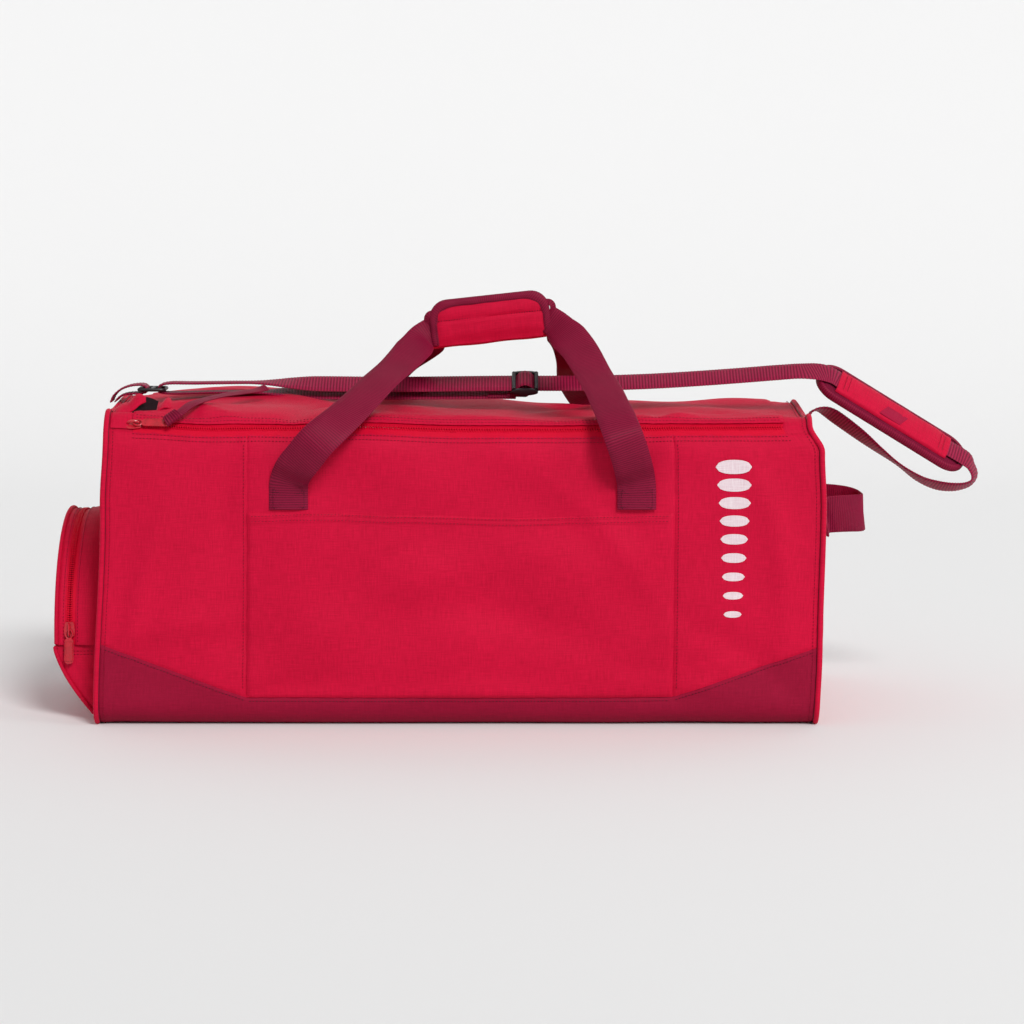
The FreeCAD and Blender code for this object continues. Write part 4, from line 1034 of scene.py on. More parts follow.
def add_grip():
    grip_tape("grip_loop_strip", "grip_loop_tape", "carry_grip")
    grip_tape("grip_hook_strip", "grip_hook_tape", "grip_flap")
    grip_leaf("grip_front_pad", -1, "grip_flap", ("grip_front_leaf",), 3.4)
    grip_leaf("grip_back_pad", 1, "carry_grip", ("grip_back_leaf",), 3.0)
    rows = grip_binding("grip_front_binding", -1, "grip_flap", ("grip_binding",))
    thread.line("flap", rows, (0, -1, 0), pitch=2.8, long=2.1)
    crease = [grip_place(u, -8.7, 3.5) for u in np.linspace(8 - GRIP_HALF, GRIP_HALF - 8, 40)]
    thread.line("flap", crease, (0, -1, 0), pitch=2.8, long=2.1)
    rows = grip_binding("grip_back_binding", 1, "carry_grip", ())
    thread.line("grip", rows, (0, 1, 0), pitch=2.8, long=2.1)
    # the fold along the grip's foot, wrapped round from the back leaf
    us = np.linspace(-GRIP_HALF, GRIP_HALF, 50)
    turn = np.linspace(0, math.pi, 9)
    profile = [(7.6 * math.cos(a), GRIP_LOW + 2.8 - 2.6 * math.sin(a)) for a in turn]
    profile += [(5.8 * math.cos(a), GRIP_LOW + 2.8 - 1.3 * math.sin(a)) for a in turn[::-1]]
    rings = np.array([[grip_place(u, v + 0.2 * math.sin(u * 0.3), w + 0.4 * math.sin(u * 0.11))
                       for v, w in profile] for u in us])
    across = np.arange(len(profile)) * 2.6
    swept("grip_fold", rings, us, across, "red_fabric", "carry_grip")
    for side in (-1, 1):
        start = grip_place(side * (GRIP_HALF - 5), -8.0, 0)
        loop = [start + np.array((side * a, b, c)) for a, b, c in
                ((0, 2.5, 12), (6, 1, 11.5), (9, 2, 7), (7.5, 3, 0), (3, 4, -7), (-1, 4.5, -11))]
        band = Band([(point, (side * 0.5, -1, 0.1)) for point in loop])
        ribbon(f"grip_keeper_{'left' if side < 0 else 'right'}", band, 7, 1.2, "webbing",
               "carry_grip")
    for face, node in ((-1, "front"), (1, "back")):
        stations = [(grip_place(u, face * 3.1, -5), (0, face, 0))
                    for u in np.linspace(-GRIP_HALF - 0.4, GRIP_HALF + 0.4, 6)]
        ribbon(f"grip_run_{node}", Band(stations), GATHERED - 0.6, HANDLE_THICK, "webbing",
               "carry_grip", ("handle_grip_runs",))


# ---------------------------------------------------------------- shoulder strap

STRAP_WIDE, STRAP_THICK = 30.0, 2.2
STRAP_STEP = 1.65  # between two ribs of its weave
# The strap's Y, its height beside the adjuster, and the adjuster's and the pad's places.
LINE = (corners("strap_lower_run")[0][1] + corners("strap_lower_run")[1][1]) / 2
LEVEL = 341.2
ADJUSTER = (corners("strap_adjuster_frame")[0][0] + corners("strap_adjuster_frame")[1][0]) / 2
PAD_MIDDLE = np.array((474.0, LINE, 307))
PAD_TURN = Matrix.Rotation(math.radians(31.5), 3, "Y") @ Matrix.Rotation(math.radians(30), 3, "X")
PAD_AXES = np.array(PAD_TURN)


def pad_place(points):
    """Pad's own frame (along, across, out of its face) to the bag's."""
    return PAD_MIDDLE + np.asarray(points, float) @ PAD_AXES.T


STRAP_ROLL, STRAP_AXIS = math.radians(28), 336.0  # turn of the strap, and height it turns about


def roll(x, z, hint, y=0.0):
    """Station of the strap, turned to face the front along its run beside the adjuster."""
    turn = STRAP_ROLL * float(smooth(-230, -150, x))
    cos, sin = math.cos(turn), math.sin(turn)
    up = z - STRAP_AXIS
    return ((x, LINE + y * cos - up * sin, STRAP_AXIS + y * sin + up * cos),
            (hint[0], hint[1] * cos - hint[2] * sin, hint[1] * sin + hint[2] * cos))


def add_strap():
    face = tuple(PAD_AXES[:, 2])
    over = [(-328.4, 334.0, (-1, 0, 0.2)), (-326.5, 338.8, (-0.8, 0, 1)), (-316, 341.4, UP)]
    over += [(x, LEVEL + 0.7 * math.sin(x * 0.021), UP)
             for x in (-290, -250, -225, -205, -185, -165, -145, -100, -50, 0, 40, 71, 102)]
    over += [(150, 342.2, UP), (207, 344.4, UP), (262, 348.2, UP), (313, 352.6, UP),
             (345, 355.6, UP), (374, 357.4, (0.1, 0, 1))]
    stations = [roll(x, z, hint) for x, z, hint in over]
    stations += [(tuple(pad_place((u, 0, w))), face) for u, w in (
        (-84, 0.1), (-60, 0), (-30, 0), (20, 0), (70, 0), (93, 0))]
    stations += [((x, LINE, z), hint) for x, z, hint in (
        (560.0, 249.5, (1, -0.4, 0.4)), (563.5, 240.5, (1, -0.35, 0)),
        (561.0, 233.0, (0.8, -0.3, -0.6)), (553.0, 228.6, (0.3, -0.35, -1)),
        (540.0, 227.0, (0, -0.4, -1)), (523.0, 229.0, (-0.1, -0.4, -1)),
        (503.0, 236.5, (-0.2, -0.25, -1)), (480.0, 252.0, (-0.3, -0.1, -1)),
        (457.0, 269.0, (-0.3, -0.25, -1)), (436.0, 285.5, (-0.3, -0.45, -1)),
        (415.0, 301.0, (-0.2, -0.5, -1)), (402.0, 309.5, (0, -0.4, -1)),
        (391.5, 312.5, (0.3, -0.2, -1)), (383.5, 309.5, (0.8, -0.1, -0.8)),
        (380.2, 301.0, (1, 0, 0)), (379.8, 293.0, (1, 0, 0)))]
    band = Band(stations, STRAP_STEP)
    split = band.nearest(pad_place((20, 0, 0)))
    long_run = ribbon("strap_to_pad", band.cut(0, split + 1), STRAP_WIDE, STRAP_THICK,
                      "strap_webbing", "root", ("strap_long_run",), cup=0.4, thin=(True, False),
                      ride=False)
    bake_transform(long_run)
    ribbon("strap_from_pad", band.cut(split, None), STRAP_WIDE, STRAP_THICK, "strap_webbing",
           "root", ("strap_return_run", "strap_right_anchor"), cup=0.4, thin=(False, True))
    # the lower layer: back from the adjuster to the ring, sewn to itself near the adjuster
    low = [(-328.4, 332.6, (-1, 0, -0.4)), (-322, 331.0, (-0.2, 0, -1)), (-308, 330.6, DOWN)]
    low += [(x, 331.1 + 0.5 * math.sin(x * 0.017), DOWN)
            for x in (-270, -240, -220, -200, -180, -160, -145, -100, -60, -20, 30, 61)]
    band = Band([roll(x, z, hint) for x, z, hint in low], STRAP_STEP)
    lower = ribbon("strap_lower_layer", band, STRAP_WIDE, STRAP_THICK, "strap_webbing", "root",
                   ("strap_lower_run",), cup=0.3, ride=False)
    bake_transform(lower)
    anchor = [(-380.5, 321, (-1, 0, 0.2)), (-377, 328.5, (-0.9, 0, 0.6)),
              (-369, 335.2, (-0.5, 0, 1)), (-358, 339.0, (-0.1, 0, 1)), (-347, 339.8, UP),
              (-341.9, 337.6, (1, 0, 0.5)), (-341.6, 333.2, (1, 0, -0.4)),
              (-345, 330.8, (0.2, 0, -1)), (-354, 330.6, DOWN), (-364, 329.6, DOWN),
              (-370.5, 327.0, (0.3, 0, -1)), (-376, 321.5, (0.8, 0, -0.3))]
    ribbon("strap_anchor_loop", Band([((x, LINE, z), hint) for x, z, hint in anchor], STRAP_STEP),
           STRAP_WIDE, 2.0, "strap_webbing", "root", ("strap_left_anchor",))


def add_ring():
    """Flat rectangular ring with rounded corners and a middle bar."""
    low, high = corners("strap_ring")
    centre = (low + high) / 2
    outline = rounded_outline((high[0] - low[0]) / 2 - 1.9, (high[1] - low[1]) / 2 - 1.9, 4, 5)
    path = [(centre[0] + a, centre[1] + b, centre[2]) for a, b in outline]
    solids = [loop_solid(path, 1.95, 10, closed=True)]
    bar = [(centre[0], centre[1] + y, centre[2]) for y in np.linspace(-16.5, 16.5, 7)]
    solids.append(loop_solid(bar, 2.0, 10))
    solids.insert(0, block_solid((-337.2, 28.5, 333.7), (-333.8, 61.5, 336.4)))
    chunks("strap_rectangular_ring", solids, "black_plastic", "root", ("strap_ring",))


def add_adjuster():
    """Tri-glide: two arched rails joined by rounded bars, and the strap's end sewn round one."""
    solids = []
    for y in (-17.6, 17.6):
        rings = []
        for x in np.linspace(-14, 14, 15):
            share = abs(x) / 14
            top, foot = 346 - 1.6 * share ** 3, 337.8 + 2.6 * share ** 2
            middle, half = (top + foot) / 2, (top - foot) / 2
            if share > 0.99:
                half = half * 0.7
            rings.append([(ADJUSTER + x, LINE + y + a * 1.9, middle + b * half) for a, b in (
                (-1, -0.6), (-0.6, -1), (0.6, -1), (1, -0.6), (1, 0.6), (0.6, 1), (-0.6, 1),
                (-1, 0.6))])
        verts = [point for ring in rings for point in ring]
        solids.append((verts, stack_faces(len(rings), 8)))
    for x, z, radius in ((-12.2, 344.4, 2.3), (12.2, 344.4, 2.3), (0, 336.4, 1.7)):
        bar = [(ADJUSTER + x, LINE + y, z) for y in np.linspace(-17, 17, 7)]
        solids.append(loop_solid(bar, radius, 10))
    turned = [([roll(x, z, UP, y - LINE)[0] for x, y, z in verts], faces)
              for verts, faces in solids]
    chunks("strap_tri_glide", turned, "black_plastic", "strap_adjuster", ("strap_adjuster_frame",))
    wrap = [(-41, 333.6, DOWN), (-30, 333.7, DOWN), (-18, 333.7, DOWN), (-8, 333.7, DOWN),
            (-3.5, 333.6, (-0.2, 0, -1)), (1.5, 333.8, (0.4, 0, -1)), (3.4, 336.2, (1, 0, 0)),
            (1.6, 338.6, (0.4, 0, 1)), (-2, 338.7, (-0.6, 0, 1)), (-4.6, 336.6, (-0.7, 0, 0.6)),
            (-8.5, 335.4, UP), (-20, 335.5, UP)]
    band = Band([roll(ADJUSTER + x, z, hint) for x, z, hint in wrap])
    ribbon("strap_end_loop", band, STRAP_WIDE - 0.6, 1.5, "webbing", "strap_adjuster",
           ("strap_adjuster_wrap",))
    # where the strap rides up over the middle of the adjuster; it moves along with it
    hump = [(-9.6, 342.4, UP), (-7.6, 344.6, (-0.7, 0, 1)), (-4.6, 347.4, (-0.5, 0, 1)),
            (0, 348.6, UP), (4.6, 347.4, (0.5, 0, 1)), (7.6, 344.6, (0.7, 0, 1)), (9.6, 342.4, UP)]
    band = Band([roll(ADJUSTER + x, z, hint) for x, z, hint in hump], STRAP_STEP)
    ribbon("strap_hump", band, STRAP_WIDE - 0.8, 1.8, "strap_webbing", "strap_adjuster")


# ---------------------------------------------------------------- shoulder pad

PAD_LONG, PAD_HALF = 185.0, 27.0


def pad_cushion():
    """Foam: rounded in plan, softened all round, crowned in the middle."""
    half_long, low, high, crown = PAD_LONG / 2 - 1, -9.3, -2.4, 0.4
    rim = dense(rounded_outline(half_long, PAD_HALF, 23, 10), 5)
    levels = [(share, (high - low) / 2 * math.sqrt(max(1 - share ** 9, 0)) + crown * (1 - share ** 2))
              for share in (0.02, 0.3, 0.55, 0.75, 0.88, 0.95, 0.985, 1.0)]
    rings = []
    for side, order in ((1, levels), (-1, levels[::-1][1:])):
        for share, level in order:
            u = rim[:, 0] * (1 - (1 - share) * PAD_HALF / half_long)
            ripple = 0.35 * np.sin(u * 0.13 + side) * (1 - share ** 4)
            w = (low + high) / 2 + side * (level + ripple)
            rings.append(np.stack([u, rim[:, 1] * share, w], -1))
    count, size = len(rings), len(rim)
    verts = np.concatenate(rings)
    faces = stack_faces(count, size)[:-2]
    # both ends are closed with a strip of quads along the pad
    for first in (0, (count - 1) * size):
        quads = [(first + j, first + j + 1, first + (size - 2 - j) % size, first + size - 1 - j)
                 for j in range(size // 2)]
        faces += [quad for quad in quads if len(set(quad)) == 4]
    uvs = [[(verts[i][0], verts[i][1] + verts[i][2]) for i in face] for face in faces]
    return piece("pad_cushion", pad_place(verts), faces, "foam", "strap_pad", ("pad_foam",), uvs)


def add_pad():
    pad_cushion()
    rim = dense(rounded_outline(PAD_LONG / 2, PAD_HALF + 1.6, 24, 12), 4)
    path = np.array([(u, v, -5.8) for u, v in rim])
    section_points = ((0.9, -3.6), (1.7, -2.2), (1.9, 0), (1.7, 2.2), (0.9, 3.6), (-2.6, 3.7),
                      (-3.2, 3.0), (-1.0, 0), (-3.2, -3.0), (-2.6, -3.7))
    out = unit(np.stack([np.gradient(path[:, 1]), -np.gradient(path[:, 0]), 0 * path[:, 0]], -1))
    rings = np.array([pad_place([spot + normal * a + np.array((0, 0, b)) for a, b in section_points])
                      for spot, normal in zip(path, out)])
    swept("pad_edge_tape", rings, lengths(path), np.arange(10) * 1.8, "webbing", "strap_pad",
          ("pad_binding",), loop=True)
    # fabric sleeve over the webbing, sewn down along both sides
    us = ruler(-70.5, 70.5, 3.0, (0, 0.6, 1.4, 2.6, 4))
    turn = np.linspace(0, math.pi, 17)
    rings = []
    for u in us:
        to_end = 70.5 - abs(u)
        swell = 1 + 0.22 * smooth(0, 22, to_end) + 0.07 * math.sin(u * 0.16)
        dip = -0.6 * (math.exp(-((to_end - 7) / 1.2) ** 2) + math.exp(-((to_end - 12) / 1.2) ** 2))
        outer = [(u, -20.5 * math.cos(a), -2.0 + (4.9 * swell + dip) * math.sin(a) ** 0.45)
                 for a in turn]
        inner = [(u, -19.4 * math.cos(a), -2.2 + (4.0 * swell + dip) * math.sin(a) ** 0.45)
                 for a in turn[::-1]]
        rings.append(pad_place(np.array(outer + inner)))
    across = np.arange(34) * 2.7
    swept("pad_cover", np.array(rings), us, across, "red_fabric", "strap_pad", ("pad_sleeve",))
    for v in (-18.6, 18.6):
        row = pad_place([(u, v, 0.9 if abs(u) < 68 else 0.4) for u in np.linspace(-69, 69, 40)])
        thread.line("pad", row, tuple(PAD_AXES[:, 2]), pitch=3.0)
    for u in (-63.5, -58.5, 58.5, 63.5):
        row = pad_place([(u, v, 3.2 + 0.4 * math.cos(v / 12)) for v in np.linspace(-15.5, 15.5, 12)])
        thread.line("pad", row, tuple(PAD_AXES[:, 2]), pitch=3.0)
    us, vs = np.linspace(-13, 13, 9), np.linspace(-17.8, 1.0, 9)
    u, v = np.meshgrid(us, vs, indexing="ij")
    level = 3.55 - 1.1 * smooth(13.5, 19, np.abs(v))
    u = u + 0.35 * (v + 8)
    outer = pad_place(np.stack([u, v, level + 0.75], -1))
    inner = pad_place(np.stack([u, v, level - 0.3], -1))
    grid_shell("pad_label_cloth", outer, inner, np.stack([u, v], -1), "pad_label", "strap_pad",
               ("pad_patch",))


# ---------------------------------------------------------------- right end handle

def add_end_handle():
    low, high = corners("end_handle_loop")
    level = (low[2] + high[2]) / 2
    wall = low[0] + 4
    plan = [(1.5, 88, 0), (3.5, 76, 0), (6, 65, 0), (12, 60.5, 0.6), (24, 56, 1.2), (40, 44, 0.6),
            (51, 29, -0.8), (56.5, 10, -2)]
    plan = plan + [(a, -b, c) for a, b, c in reversed(plan)]
    cloth = np.array([tuple(vert.co) for vert in bpy.data.objects["right_end_cloth"].data.vertices])
    cloth = cloth / MM
    stations = []
    for index, (out, spread, rise) in enumerate(plan):
        if abs(spread) > 62:
            near = np.hypot(cloth[:, 1] - spread, cloth[:, 2] - level) < 24
            out = cloth[near, 0].max() + 1.4 + 3.0 * (abs(spread) < 66) - wall
        before, after = plan[max(index - 1, 0)], plan[min(index + 1, len(plan) - 1)]
        run = np.array((after[0] - before[0], after[1] - before[1]), float)
        stations.append(((wall + out, spread, level + rise), (-run[1], run[0], 3.0 * math.sin(index))))
    ribbon("end_handle", Band(stations), HANDLE_WIDE, 3.0, "webbing", "root",
           ("end_handle_loop", "end_handle_patches"), cup=-1.2)


# ---------------------------------------------------------------- sliders and pulls

def flip(points, way):
    """Points turned half round where the zip closes the other way."""
    return [(way * x, way * y) for x, y in points]


def zip_slider(name, body, node, place, radial, way):
    """Slider in its own frame: X along the zip, Z out of it. Two plates, a neck and a bail."""
    nose = [(-8, -3.2), (-6.6, -5.4), (-1, -6.2), (6, -5.2), (8, -4.2), (8, 4.2), (6, 5.2),
            (-1, 6.2), (-6.6, 5.4), (-8, 3.2)]
    nose = flip(nose, way)
    solids = [plate_solid(nose, radial - 3.7, radial - 1.9, 0.6),
              plate_solid(nose, radial - 11.3, radial - 9.7, 0.6)]
    neck = [(-6.4, -1.1), (-3.0, -1.6), (-2.4, 0), (-3.0, 1.6), (-6.4, 1.1)]
    solids.append(plate_solid(flip(neck, way), radial - 9.9, radial - 3.0, 0.2))
    arc = [(-6.2 * math.cos(a), 0, radial - 3.0 + 5.6 * math.sin(a) ** 0.6)
           for a in np.linspace(0, math.pi, 15)]
    solids.append(loop_solid(arc, 1.15, 8))
    chunks(name, solids, "red_enamel", body, (node,), place)


def pull_tab(name, body, node, place, radial, reach, way):
    """Pull with an eye at the bail, a waisted stem and a rounded grip with a raised rim."""
    outline = [(8.5, -2.6), (11, -4.6), (reach - 4, -5), (reach - 1.2, -4), (reach, -1.5),
               (reach, 1.5), (reach - 1.2, 4), (reach - 4, 5), (11, 4.6), (8.5, 2.6)]
    solids = [plate_solid(flip(outline, way), radial - 0.7, radial + 0.7, 0.3)]
    eye = [(way * (4.6 + 4.6 * math.cos(a)), 3.6 * math.sin(a), radial)
           for a in circle(22)]
    solids.append(loop_solid(eye, 0.95, 8, closed=True))
    rim = [(way * (12.5 + (reach - 15) * 0.5 * (1 + a)), b * 3.5, radial + 0.75)
           for a, b in ((-1, -1), (1, -1), (1, 1), (-1, 1))]
    solids.append(loop_solid(rim, 0.5, 6, closed=True))
    chunks(name, solids, "red_enamel", body, (node,), place)


TIPPED = (0, -0.45, 1)
RIBBON = [
    ((-296.5, -159.5, 318.2), (0, -1, 1)), ((-291, -158, 321.5), (0, -1, 1.2)),
    ((-284, -152, 326.5), (0, -1, 2)), ((-276, -137, 332.5), (0, -0.6, 1)),
    ((-266, -116, 335.2), TIPPED), ((-256, -90, 336.4), TIPPED), ((-245, -62, 337.0), TIPPED),
    ((-231, -36, 337.2), TIPPED), ((-217, -14, 337.8), TIPPED), ((-207, -6, 340.5), (0, -0.8, 1)),
]


def add_sliders():
    centre = Vector((0, -DEPTH + HIGH_ROUND, HEIGHT - HIGH_ROUND))
    lean = Matrix.Rotation(math.radians(45), 4, "X")
    low, high = corners("main_zip_slider_body")
    rest = Matrix.Translation(Vector(((low[0] + high[0]) / 2, centre[1], centre[2] - 1.5))) @ lean
    zip_slider("main_slider", "main_zip_slider", "main_zip_slider_body", rest, 44.3, 1)
    pull_tab("main_pull", "main_zip_pull", "main_zip_pull_tab", rest, 44.3, 37.5, 1)
    ribbon("pull_ribbon", Band(RIBBON), 10.5, 1.4, "webbing", "main_zip_pull",
           ("main_zip_ribbon",), cup=0.5)
    knot = [((-299.5, -160.5, 316.8), (0, -1, 1)), ((-295, -160.4, 320.2), (0, -1, 1)),
            ((-290, -158, 323.4), (0, -1, 1)), ((-286.5, -155, 325.6), (0, -1, 1))]
    ribbon("pull_ribbon_fold", Band(knot), 12.0, 4.4, "webbing", "main_zip_pull", cup=0.8)
    turned = Matrix.Rotation(math.radians(90 - 7), 4, "X") @ Matrix.Rotation(math.radians(-90), 4, "Z")
    low, high = corners("pocket_zip_slider_body")
    rest = Matrix.Translation(Vector(((low[0] + high[0]) / 2, 0, POCKET_LEVEL))) @ turned
    zip_slider("pocket_slider", "pocket_zip_slider", "pocket_zip_slider_body", rest, 133.0, -1)
    pull_tab("pocket_pull", "pocket_zip_pull", "pocket_zip_pull_tab", rest, 133.0, 35.5, 1)


# ---------------------------------------------------------------- end pocket

POCKET_RADIUS = corners("pocket_face_panel")[1][1]
POCKET_LEVEL = corners("pocket_face_panel")[0][2]
POCKET_OUT = corners("pocket_face_panel")[0][0]
POCKET_ZIP = -406.2  # middle of its zip


def arch_point(x, angle, lift=0.0):
    """Point of the pocket's arch: degrees from the front foot over the top, lift out of its cloth."""
    x, angle, lift = np.broadcast_arrays(np.asarray(x, float), angle, lift)
    turn = np.radians(angle)
    radius = POCKET_RADIUS + lift
    y, z = -radius * np.cos(turn), POCKET_LEVEL + radius * np.sin(turn)
    return np.stack([x, y, z - 1.5 * np.sin(turn) ** 2 * smooth(-380, -420, x)], -1)


def arch_cloth(name, span, look, body, nodes=(), lift=0.0, thick=1.5, puff=1.2, reach=(0, 180),
               roll=0.7):
    """Strip of cloth over the arch between two X places."""
    xs = ruler(*span, 3.0, (0, 0.5, 1.2)) if span[1] - span[0] > 6 else np.linspace(*span, 5)
    angles = np.concatenate([[reach[0], reach[0] + 0.5], np.linspace(reach[0] + 1.2, reach[1] - 1.2, 90),
                             [reach[1] - 0.5, reach[1]]])
    x, angle = np.meshgrid(xs, angles, indexing="ij")
    near = np.minimum(x - span[0], span[1] - x)
    rise = lift - roll * (1 - smooth(0, 1.6, near)) + puff * smooth(0, 14, near)
    rise = rise + 0.35 * np.sin(angle * 0.9) * np.exp(-near / 5) + 0.5 * np.sin(angle * 0.11)
    rim = np.minimum(near, 1.0)
    outer = arch_point(x, angle, rise)
    inner = arch_point(x, angle, rise - thick * (0.3 + 0.7 * rim))
    weave = np.stack([x, np.radians(angle) * POCKET_RADIUS], -1)
    return grid_shell(name, outer, inner, weave, look, body, nodes)


def arch_out(angles):
    """Outward directions over the arch."""
    turn = np.radians(angles)
    return np.stack([0 * turn, -np.cos(turn), np.sin(turn)], -1)


def pocket_coil(name, x, body, lean):
    """Coil teeth round the arch."""
    angles = np.arange(1.5, 178.5, 1.05)
    out = arch_out(angles)
    along = np.stack([out[:, 0], out[:, 2], -out[:, 1]], -1)
    teeth = zip(arch_point(x, angles, -0.9), [lean * X_AXIS] * len(angles), along, out)
    coil_row(name, teeth, ((-1.5, 0.5), (-0.9, 1.0), (0.8, 1.0), (1.5, 0.6)), (0.8, 1.1), body)


def pocket_outline(level):
    """The face's D shape, anticlockwise seen from outside, with its straight foot at a level."""
    angles = np.linspace(0, 180, 70)
    arc = arch_point(POCKET_OUT, angles, 0)[:, 1:]
    foot = [(y, level) for y in np.linspace(POCKET_RADIUS, -POCKET_RADIUS, 34)[1:-1]]
    return np.vstack([arc, foot])


def add_pocket_arch():
    inner_edge = -corners("pocket_inner_gusset")[0][0]
    arch_cloth("pocket_inner_gusset_cloth", (-inner_edge, -HALF - 2.5), "red_fabric", "root",
               ("pocket_inner_gusset",), puff=1.8)
    arch_cloth("pocket_inner_tape_cloth", (POCKET_ZIP + 0.6, -inner_edge + 5), "red_tape", "root",
               ("pocket_inner_zip_half",), lift=-1.7, thick=0.8, puff=0, roll=0.1)
    arch_cloth("pocket_outer_tape_cloth", (POCKET_OUT + 6, POCKET_ZIP - 0.6), "red_tape",
               "pocket_face", ("pocket_outer_zip_half",), lift=-1.7, thick=0.8, puff=0, roll=0.1)
    pocket_coil("pocket_inner_coil", POCKET_ZIP + 1.3, "root", 1)
    pocket_coil("pocket_outer_coil", POCKET_ZIP - 1.3, "pocket_face", -1)
    arch_cloth("pocket_outer_gusset_cloth", (POCKET_OUT + 2.4, POCKET_ZIP - 4.6), "red_fabric",
               "pocket_face", ("pocket_face_gusset",), puff=0.6)
    for x, rows in ((-inner_edge + 2.2, "body"), (POCKET_ZIP - 6.4, "face"),
                    (-HALF - 6.0, "body")):
        angles = np.linspace(1, 179, 120)
        ripple = 0.5 * np.sin(angles * 0.11)
        thread.line(rows, arch_point(x, angles, 0.5 + ripple), arch_out(angles))


def add_pocket_face():
    # the face: a bulging D, sewn to its gusset through a piping cord
    rim = pocket_outline(POCKET_LEVEL - 1.5)
    middle = rim.mean(axis=0)
    shares = np.array([0.02, 0.15, 0.3, 0.45, 0.6, 0.72, 0.83, 0.91, 0.96, 0.99, 1.0])
    layers = []
    for level, order in ((0, shares), (2.0, shares[::-1])):
        for share in order:
            ring = middle + (rim - middle) * share * 0.995
            dome = 7.0 * (1 - share ** 3.2) + 0.8 * np.sin(ring[:, 0] * 0.045 + 1) * (1 - share)
            dome = dome + 1.0 * np.sin(ring[:, 1] * 0.06) * (1 - share ** 4)
            layers.append(np.column_stack([POCKET_OUT + 1.6 - dome + level, ring]))
    loops = np.array(layers)
    verts, faces = loops.reshape(-1, 3), stack_faces(*loops.shape[:2])
    piece("pocket_face_cloth", verts, faces, "red_fabric", "pocket_face", ("pocket_face_panel",),
          flat_uvs(verts, faces))
    angles = np.linspace(0.5, 179.5, 160)
    tube("pocket_face_cord", arch_point(POCKET_OUT + 1.2, angles, 0.6), 2.3, "red_fabric",
         "pocket_face", ("pocket_face_piping",))
    # the cloth runs on from the face to the pouch below it
    ys = ruler(-POCKET_RADIUS + 0.5, POCKET_RADIUS - 0.5, 8)
    heights = np.linspace(POCKET_LEVEL - 12, POCKET_LEVEL + 7, 15)
    y, z = np.meshgrid(ys, heights, indexing="ij")
    bend = 1.6 * np.exp(-((z - POCKET_LEVEL + 2.8) / 2.2) ** 2)
    tuck = 1.6 * smooth(4, 8, np.abs(z - POCKET_LEVEL + 2.8))
    x = POCKET_OUT - 3.2 * smooth(0, 30, POCKET_RADIUS - np.abs(y)) - 0.6 + bend + tuck
    outer, inner = np.stack([x, y, z], -1), np.stack([x + 1.2, y, z], -1)
    strip = grid_shell("pocket_fold_cloth", outer, inner, np.stack([y, z], -1), "red_fabric",
                       "root", ride=False)
    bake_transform(strip)


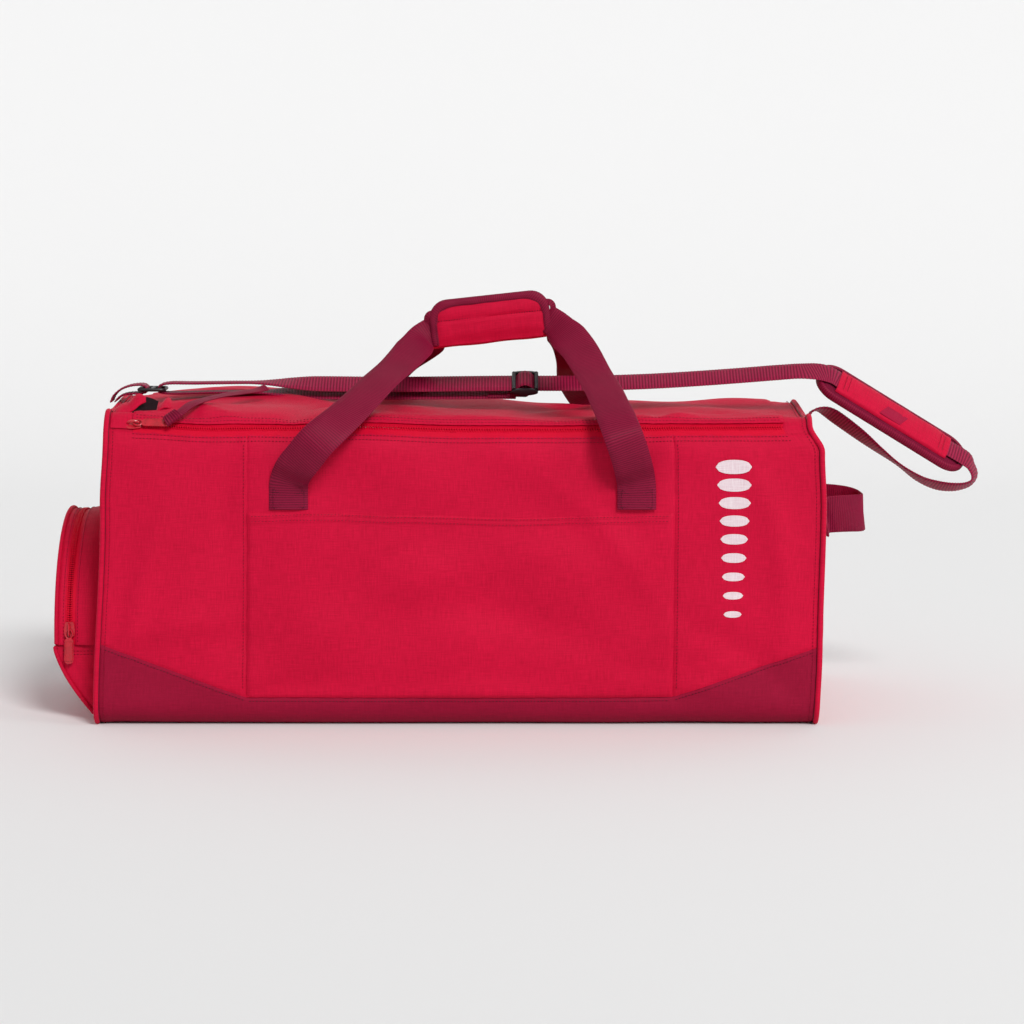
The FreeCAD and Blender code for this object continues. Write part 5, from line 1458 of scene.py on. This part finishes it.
def add_pocket_pouch():
    """The fixed pouch under the face: it tapers to the foot of the end panel."""
    # bow is how far out the pouch stands at each level, from its top to its foot
    foot_x, foot_z, top_z = -HALF - 9.0, 5.0, POCKET_LEVEL - 3.4
    share = np.linspace(0, 1, 26)
    bow = POCKET_OUT + (foot_x - POCKET_OUT) * share ** 1.15 - 3.5 * np.sin(share * math.pi)
    level = top_z + (foot_z - top_z) * share
    ys = ruler(-POCKET_RADIUS, POCKET_RADIUS, 8)
    x, y, z = np.broadcast_arrays(bow, ys[:, None] * (1 - 0.02 * share ** 2), level)
    near = np.minimum(POCKET_RADIUS - np.abs(y), np.minimum(z - foot_z, top_z - z) + 2)
    x = x - 3.0 * smooth(0, 40, near) - 0.9 * np.sin(y * 0.05 + z * 0.08) * smooth(0, 20, near)
    outer = np.stack([x, y, z], -1)
    inner = np.stack([x + 1.8, y, z + 0.4], -1)
    grid_shell("pocket_pouch_cloth", outer, inner, np.stack([y, z], -1), "red_fabric", "root",
               ("pocket_lower_panel",))
    for side, word in ((-1, "front"), (1, "back")):
        # from the end panel out to the pouch's edge, tucked in behind the arch at its top
        depth = np.linspace(0, 1, 12)[:, None]
        wall = -HALF - 3.4
        tuck = 2.2 * smooth(0.1, 0.02, share)
        xs = wall + (bow + 1.2 - wall) * depth
        zs = np.repeat((level + 6.0 * smooth(0.08, 0, share))[None], 12, 0)
        swell = 2.0 * np.sin(depth * math.pi) * smooth(0, 0.25, 1 - share) * smooth(0, 0.3, share)
        ripple = 0.5 * np.sin(zs * 0.21 + xs * 0.3) * smooth(0, 0.3, share)
        ys_out = side * (POCKET_RADIUS - 0.8 - tuck + swell + ripple)
        for drop in (6.5, 10.0):
            row = np.column_stack([np.linspace(-HALF - 8, POCKET_OUT + 6, 20),
                                   np.full(20, side * (POCKET_RADIUS - 0.2)),
                                   np.full(20, POCKET_LEVEL - drop)])
            thread.line("body", row, (0, side, 0))
        outer = np.stack([xs, ys_out, zs], -1)
        inner = np.stack([xs, ys_out - side * 1.6, zs], -1)
        grid_shell(f"pocket_side_{word}", outer, inner,
                   np.stack([xs, zs], -1), "red_fabric", "root", ("pocket_lower_gussets",))
        path = np.column_stack([bow - 0.4, np.full(26, side * (POCKET_RADIUS + 0.3)), level])
        path = path[path[:, 2] > 7]
        path = np.vstack([(POCKET_OUT + 0.9, side * (POCKET_RADIUS + 0.4), POCKET_LEVEL - 1.9),
                          path])
        tube(f"pocket_pouch_cord_{word}", path, 2.2, "red_fabric", "root")
    ys = np.linspace(-POCKET_RADIUS + 5, POCKET_RADIUS - 5, 60)
    for drop in (2.5, 6.5):
        z = top_z - drop
        near = np.minimum(POCKET_RADIUS - np.abs(ys), drop + 2)
        x = np.interp(-z, -level, bow) - 3.0 * smooth(0, 40, near)
        x = x - 0.9 * np.sin(ys * 0.05 + z * 0.08) * smooth(0, 20, near)
        thread.line("body", np.column_stack([x - 0.6, ys, np.full(60, z)]), (-1, 0, 0.3))


def crumpled_sheet(name, near, far, look, belly, rows=9, **kwargs):
    """Small stiff fold of cloth between a near and a far edge, bellied between them."""
    _, near = spline(near, 1.5)
    count = len(near)
    fine_at, fine = spline(far, 0.5)
    spots = np.linspace(0, fine_at[-1], count)
    far = sampled(spots, fine_at, fine)
    share = np.linspace(0, 1, rows)[None, :, None]
    sheet = near[:, None] + (far - near)[:, None] * share
    out = unit(np.cross(np.gradient(sheet, axis=0), np.gradient(sheet, axis=1)))
    out = out * np.where(out[..., 2:] < 0, -1, 1)
    sheet = sheet + out * belly * np.sin(math.pi * share)
    weave = np.stack([np.repeat(spots[:, None], rows, 1),
                      np.linspace(0, 30, rows)[None].repeat(count, 0)], -1)
    return grid_shell(name, sheet + out * 0.6, sheet - out * 0.6, weave, look, "root", **kwargs)


def add_zip_end():
    """Folded cloth that closes the left end of the main zip, and behind it a dark sheet of painted shade
    for the shadowed gap at the zip's end.
    """
    span = (-HALF + 2.5, -MOUTH - 0.5)
    panel("zip_end_tab_cloth", span, constant(PANEL_TOP + 2), constant(FOLD_EDGE + 12),
          "red_fabric", nodes=("main_zip_end_tab",), lift=1.6, puff=0.9, roll=0.9, pucker=0.2,
          step=4)
    near = [(-357, -142, 319), (-350, -141, 322.5), (-342, -139, 323.5), (-335, -136, 327),
            (-329, -132, 332), (-323, -128, 335)]
    far = [(-354, -104, 327.5), (-348, -112, 332), (-341, -116, 334), (-334, -117, 341.5),
           (-329, -118, 342), (-324, -121, 338.5)]
    crumpled_sheet("zip_end_fold", near, far, "red_fabric", 2.4)
    # painted shade: a dark sheet sunk into the top for the shadowed gap beyond the zip's end
    near = [(-338, -137, 322.5), (-330, -134, 323.0), (-322, -133, 322.5), (-313, -131, 323)]
    far = [(-334, -108, 335.5), (-327, -108, 338.0), (-319, -109, 336.5), (-312, -111, 333.5)]
    gather(crumpled_sheet("zip_end_lining", near, far, "lining", -1.6, ride=False))
    near = [(-311, -126, 325.5), (-305, -122, 328), (-299, -118, 327.5), (-292, -112, 327.5)]
    far = [(-309, -96, 330.0), (-304, -94, 336.5), (-298, -92, 331.0), (-291, -90, 329.5)]
    gather(crumpled_sheet("zip_end_crease", near, far, "red_fabric", 1.5, ride=False))


# ---------------------------------------------------------------- all together

def main():
    add_studio()
    add_body_panels()
    add_top()
    add_ends()
    add_main_zip()
    add_zip_end()
    add_print()
    add_handles()
    add_grip()
    add_strap()
    add_ring()
    add_adjuster()
    add_pad()
    add_end_handle()
    add_pocket_arch()
    add_pocket_face()
    add_pocket_pouch()
    add_sliders()
    for name, look, body in (("body", "thread", "root"), ("base", "dark_thread", "root"),
                             ("webbing", "dark_thread", "root"), ("flap", "dark_thread", "grip_flap"),
                             ("grip", "dark_thread", "carry_grip"), ("pad", "thread", "strap_pad"),
                             ("face", "thread", "pocket_face")):
        thread.build(name, look, body)
    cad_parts["base_board"].material_slots[0].material = LOOKS["board"]


main()
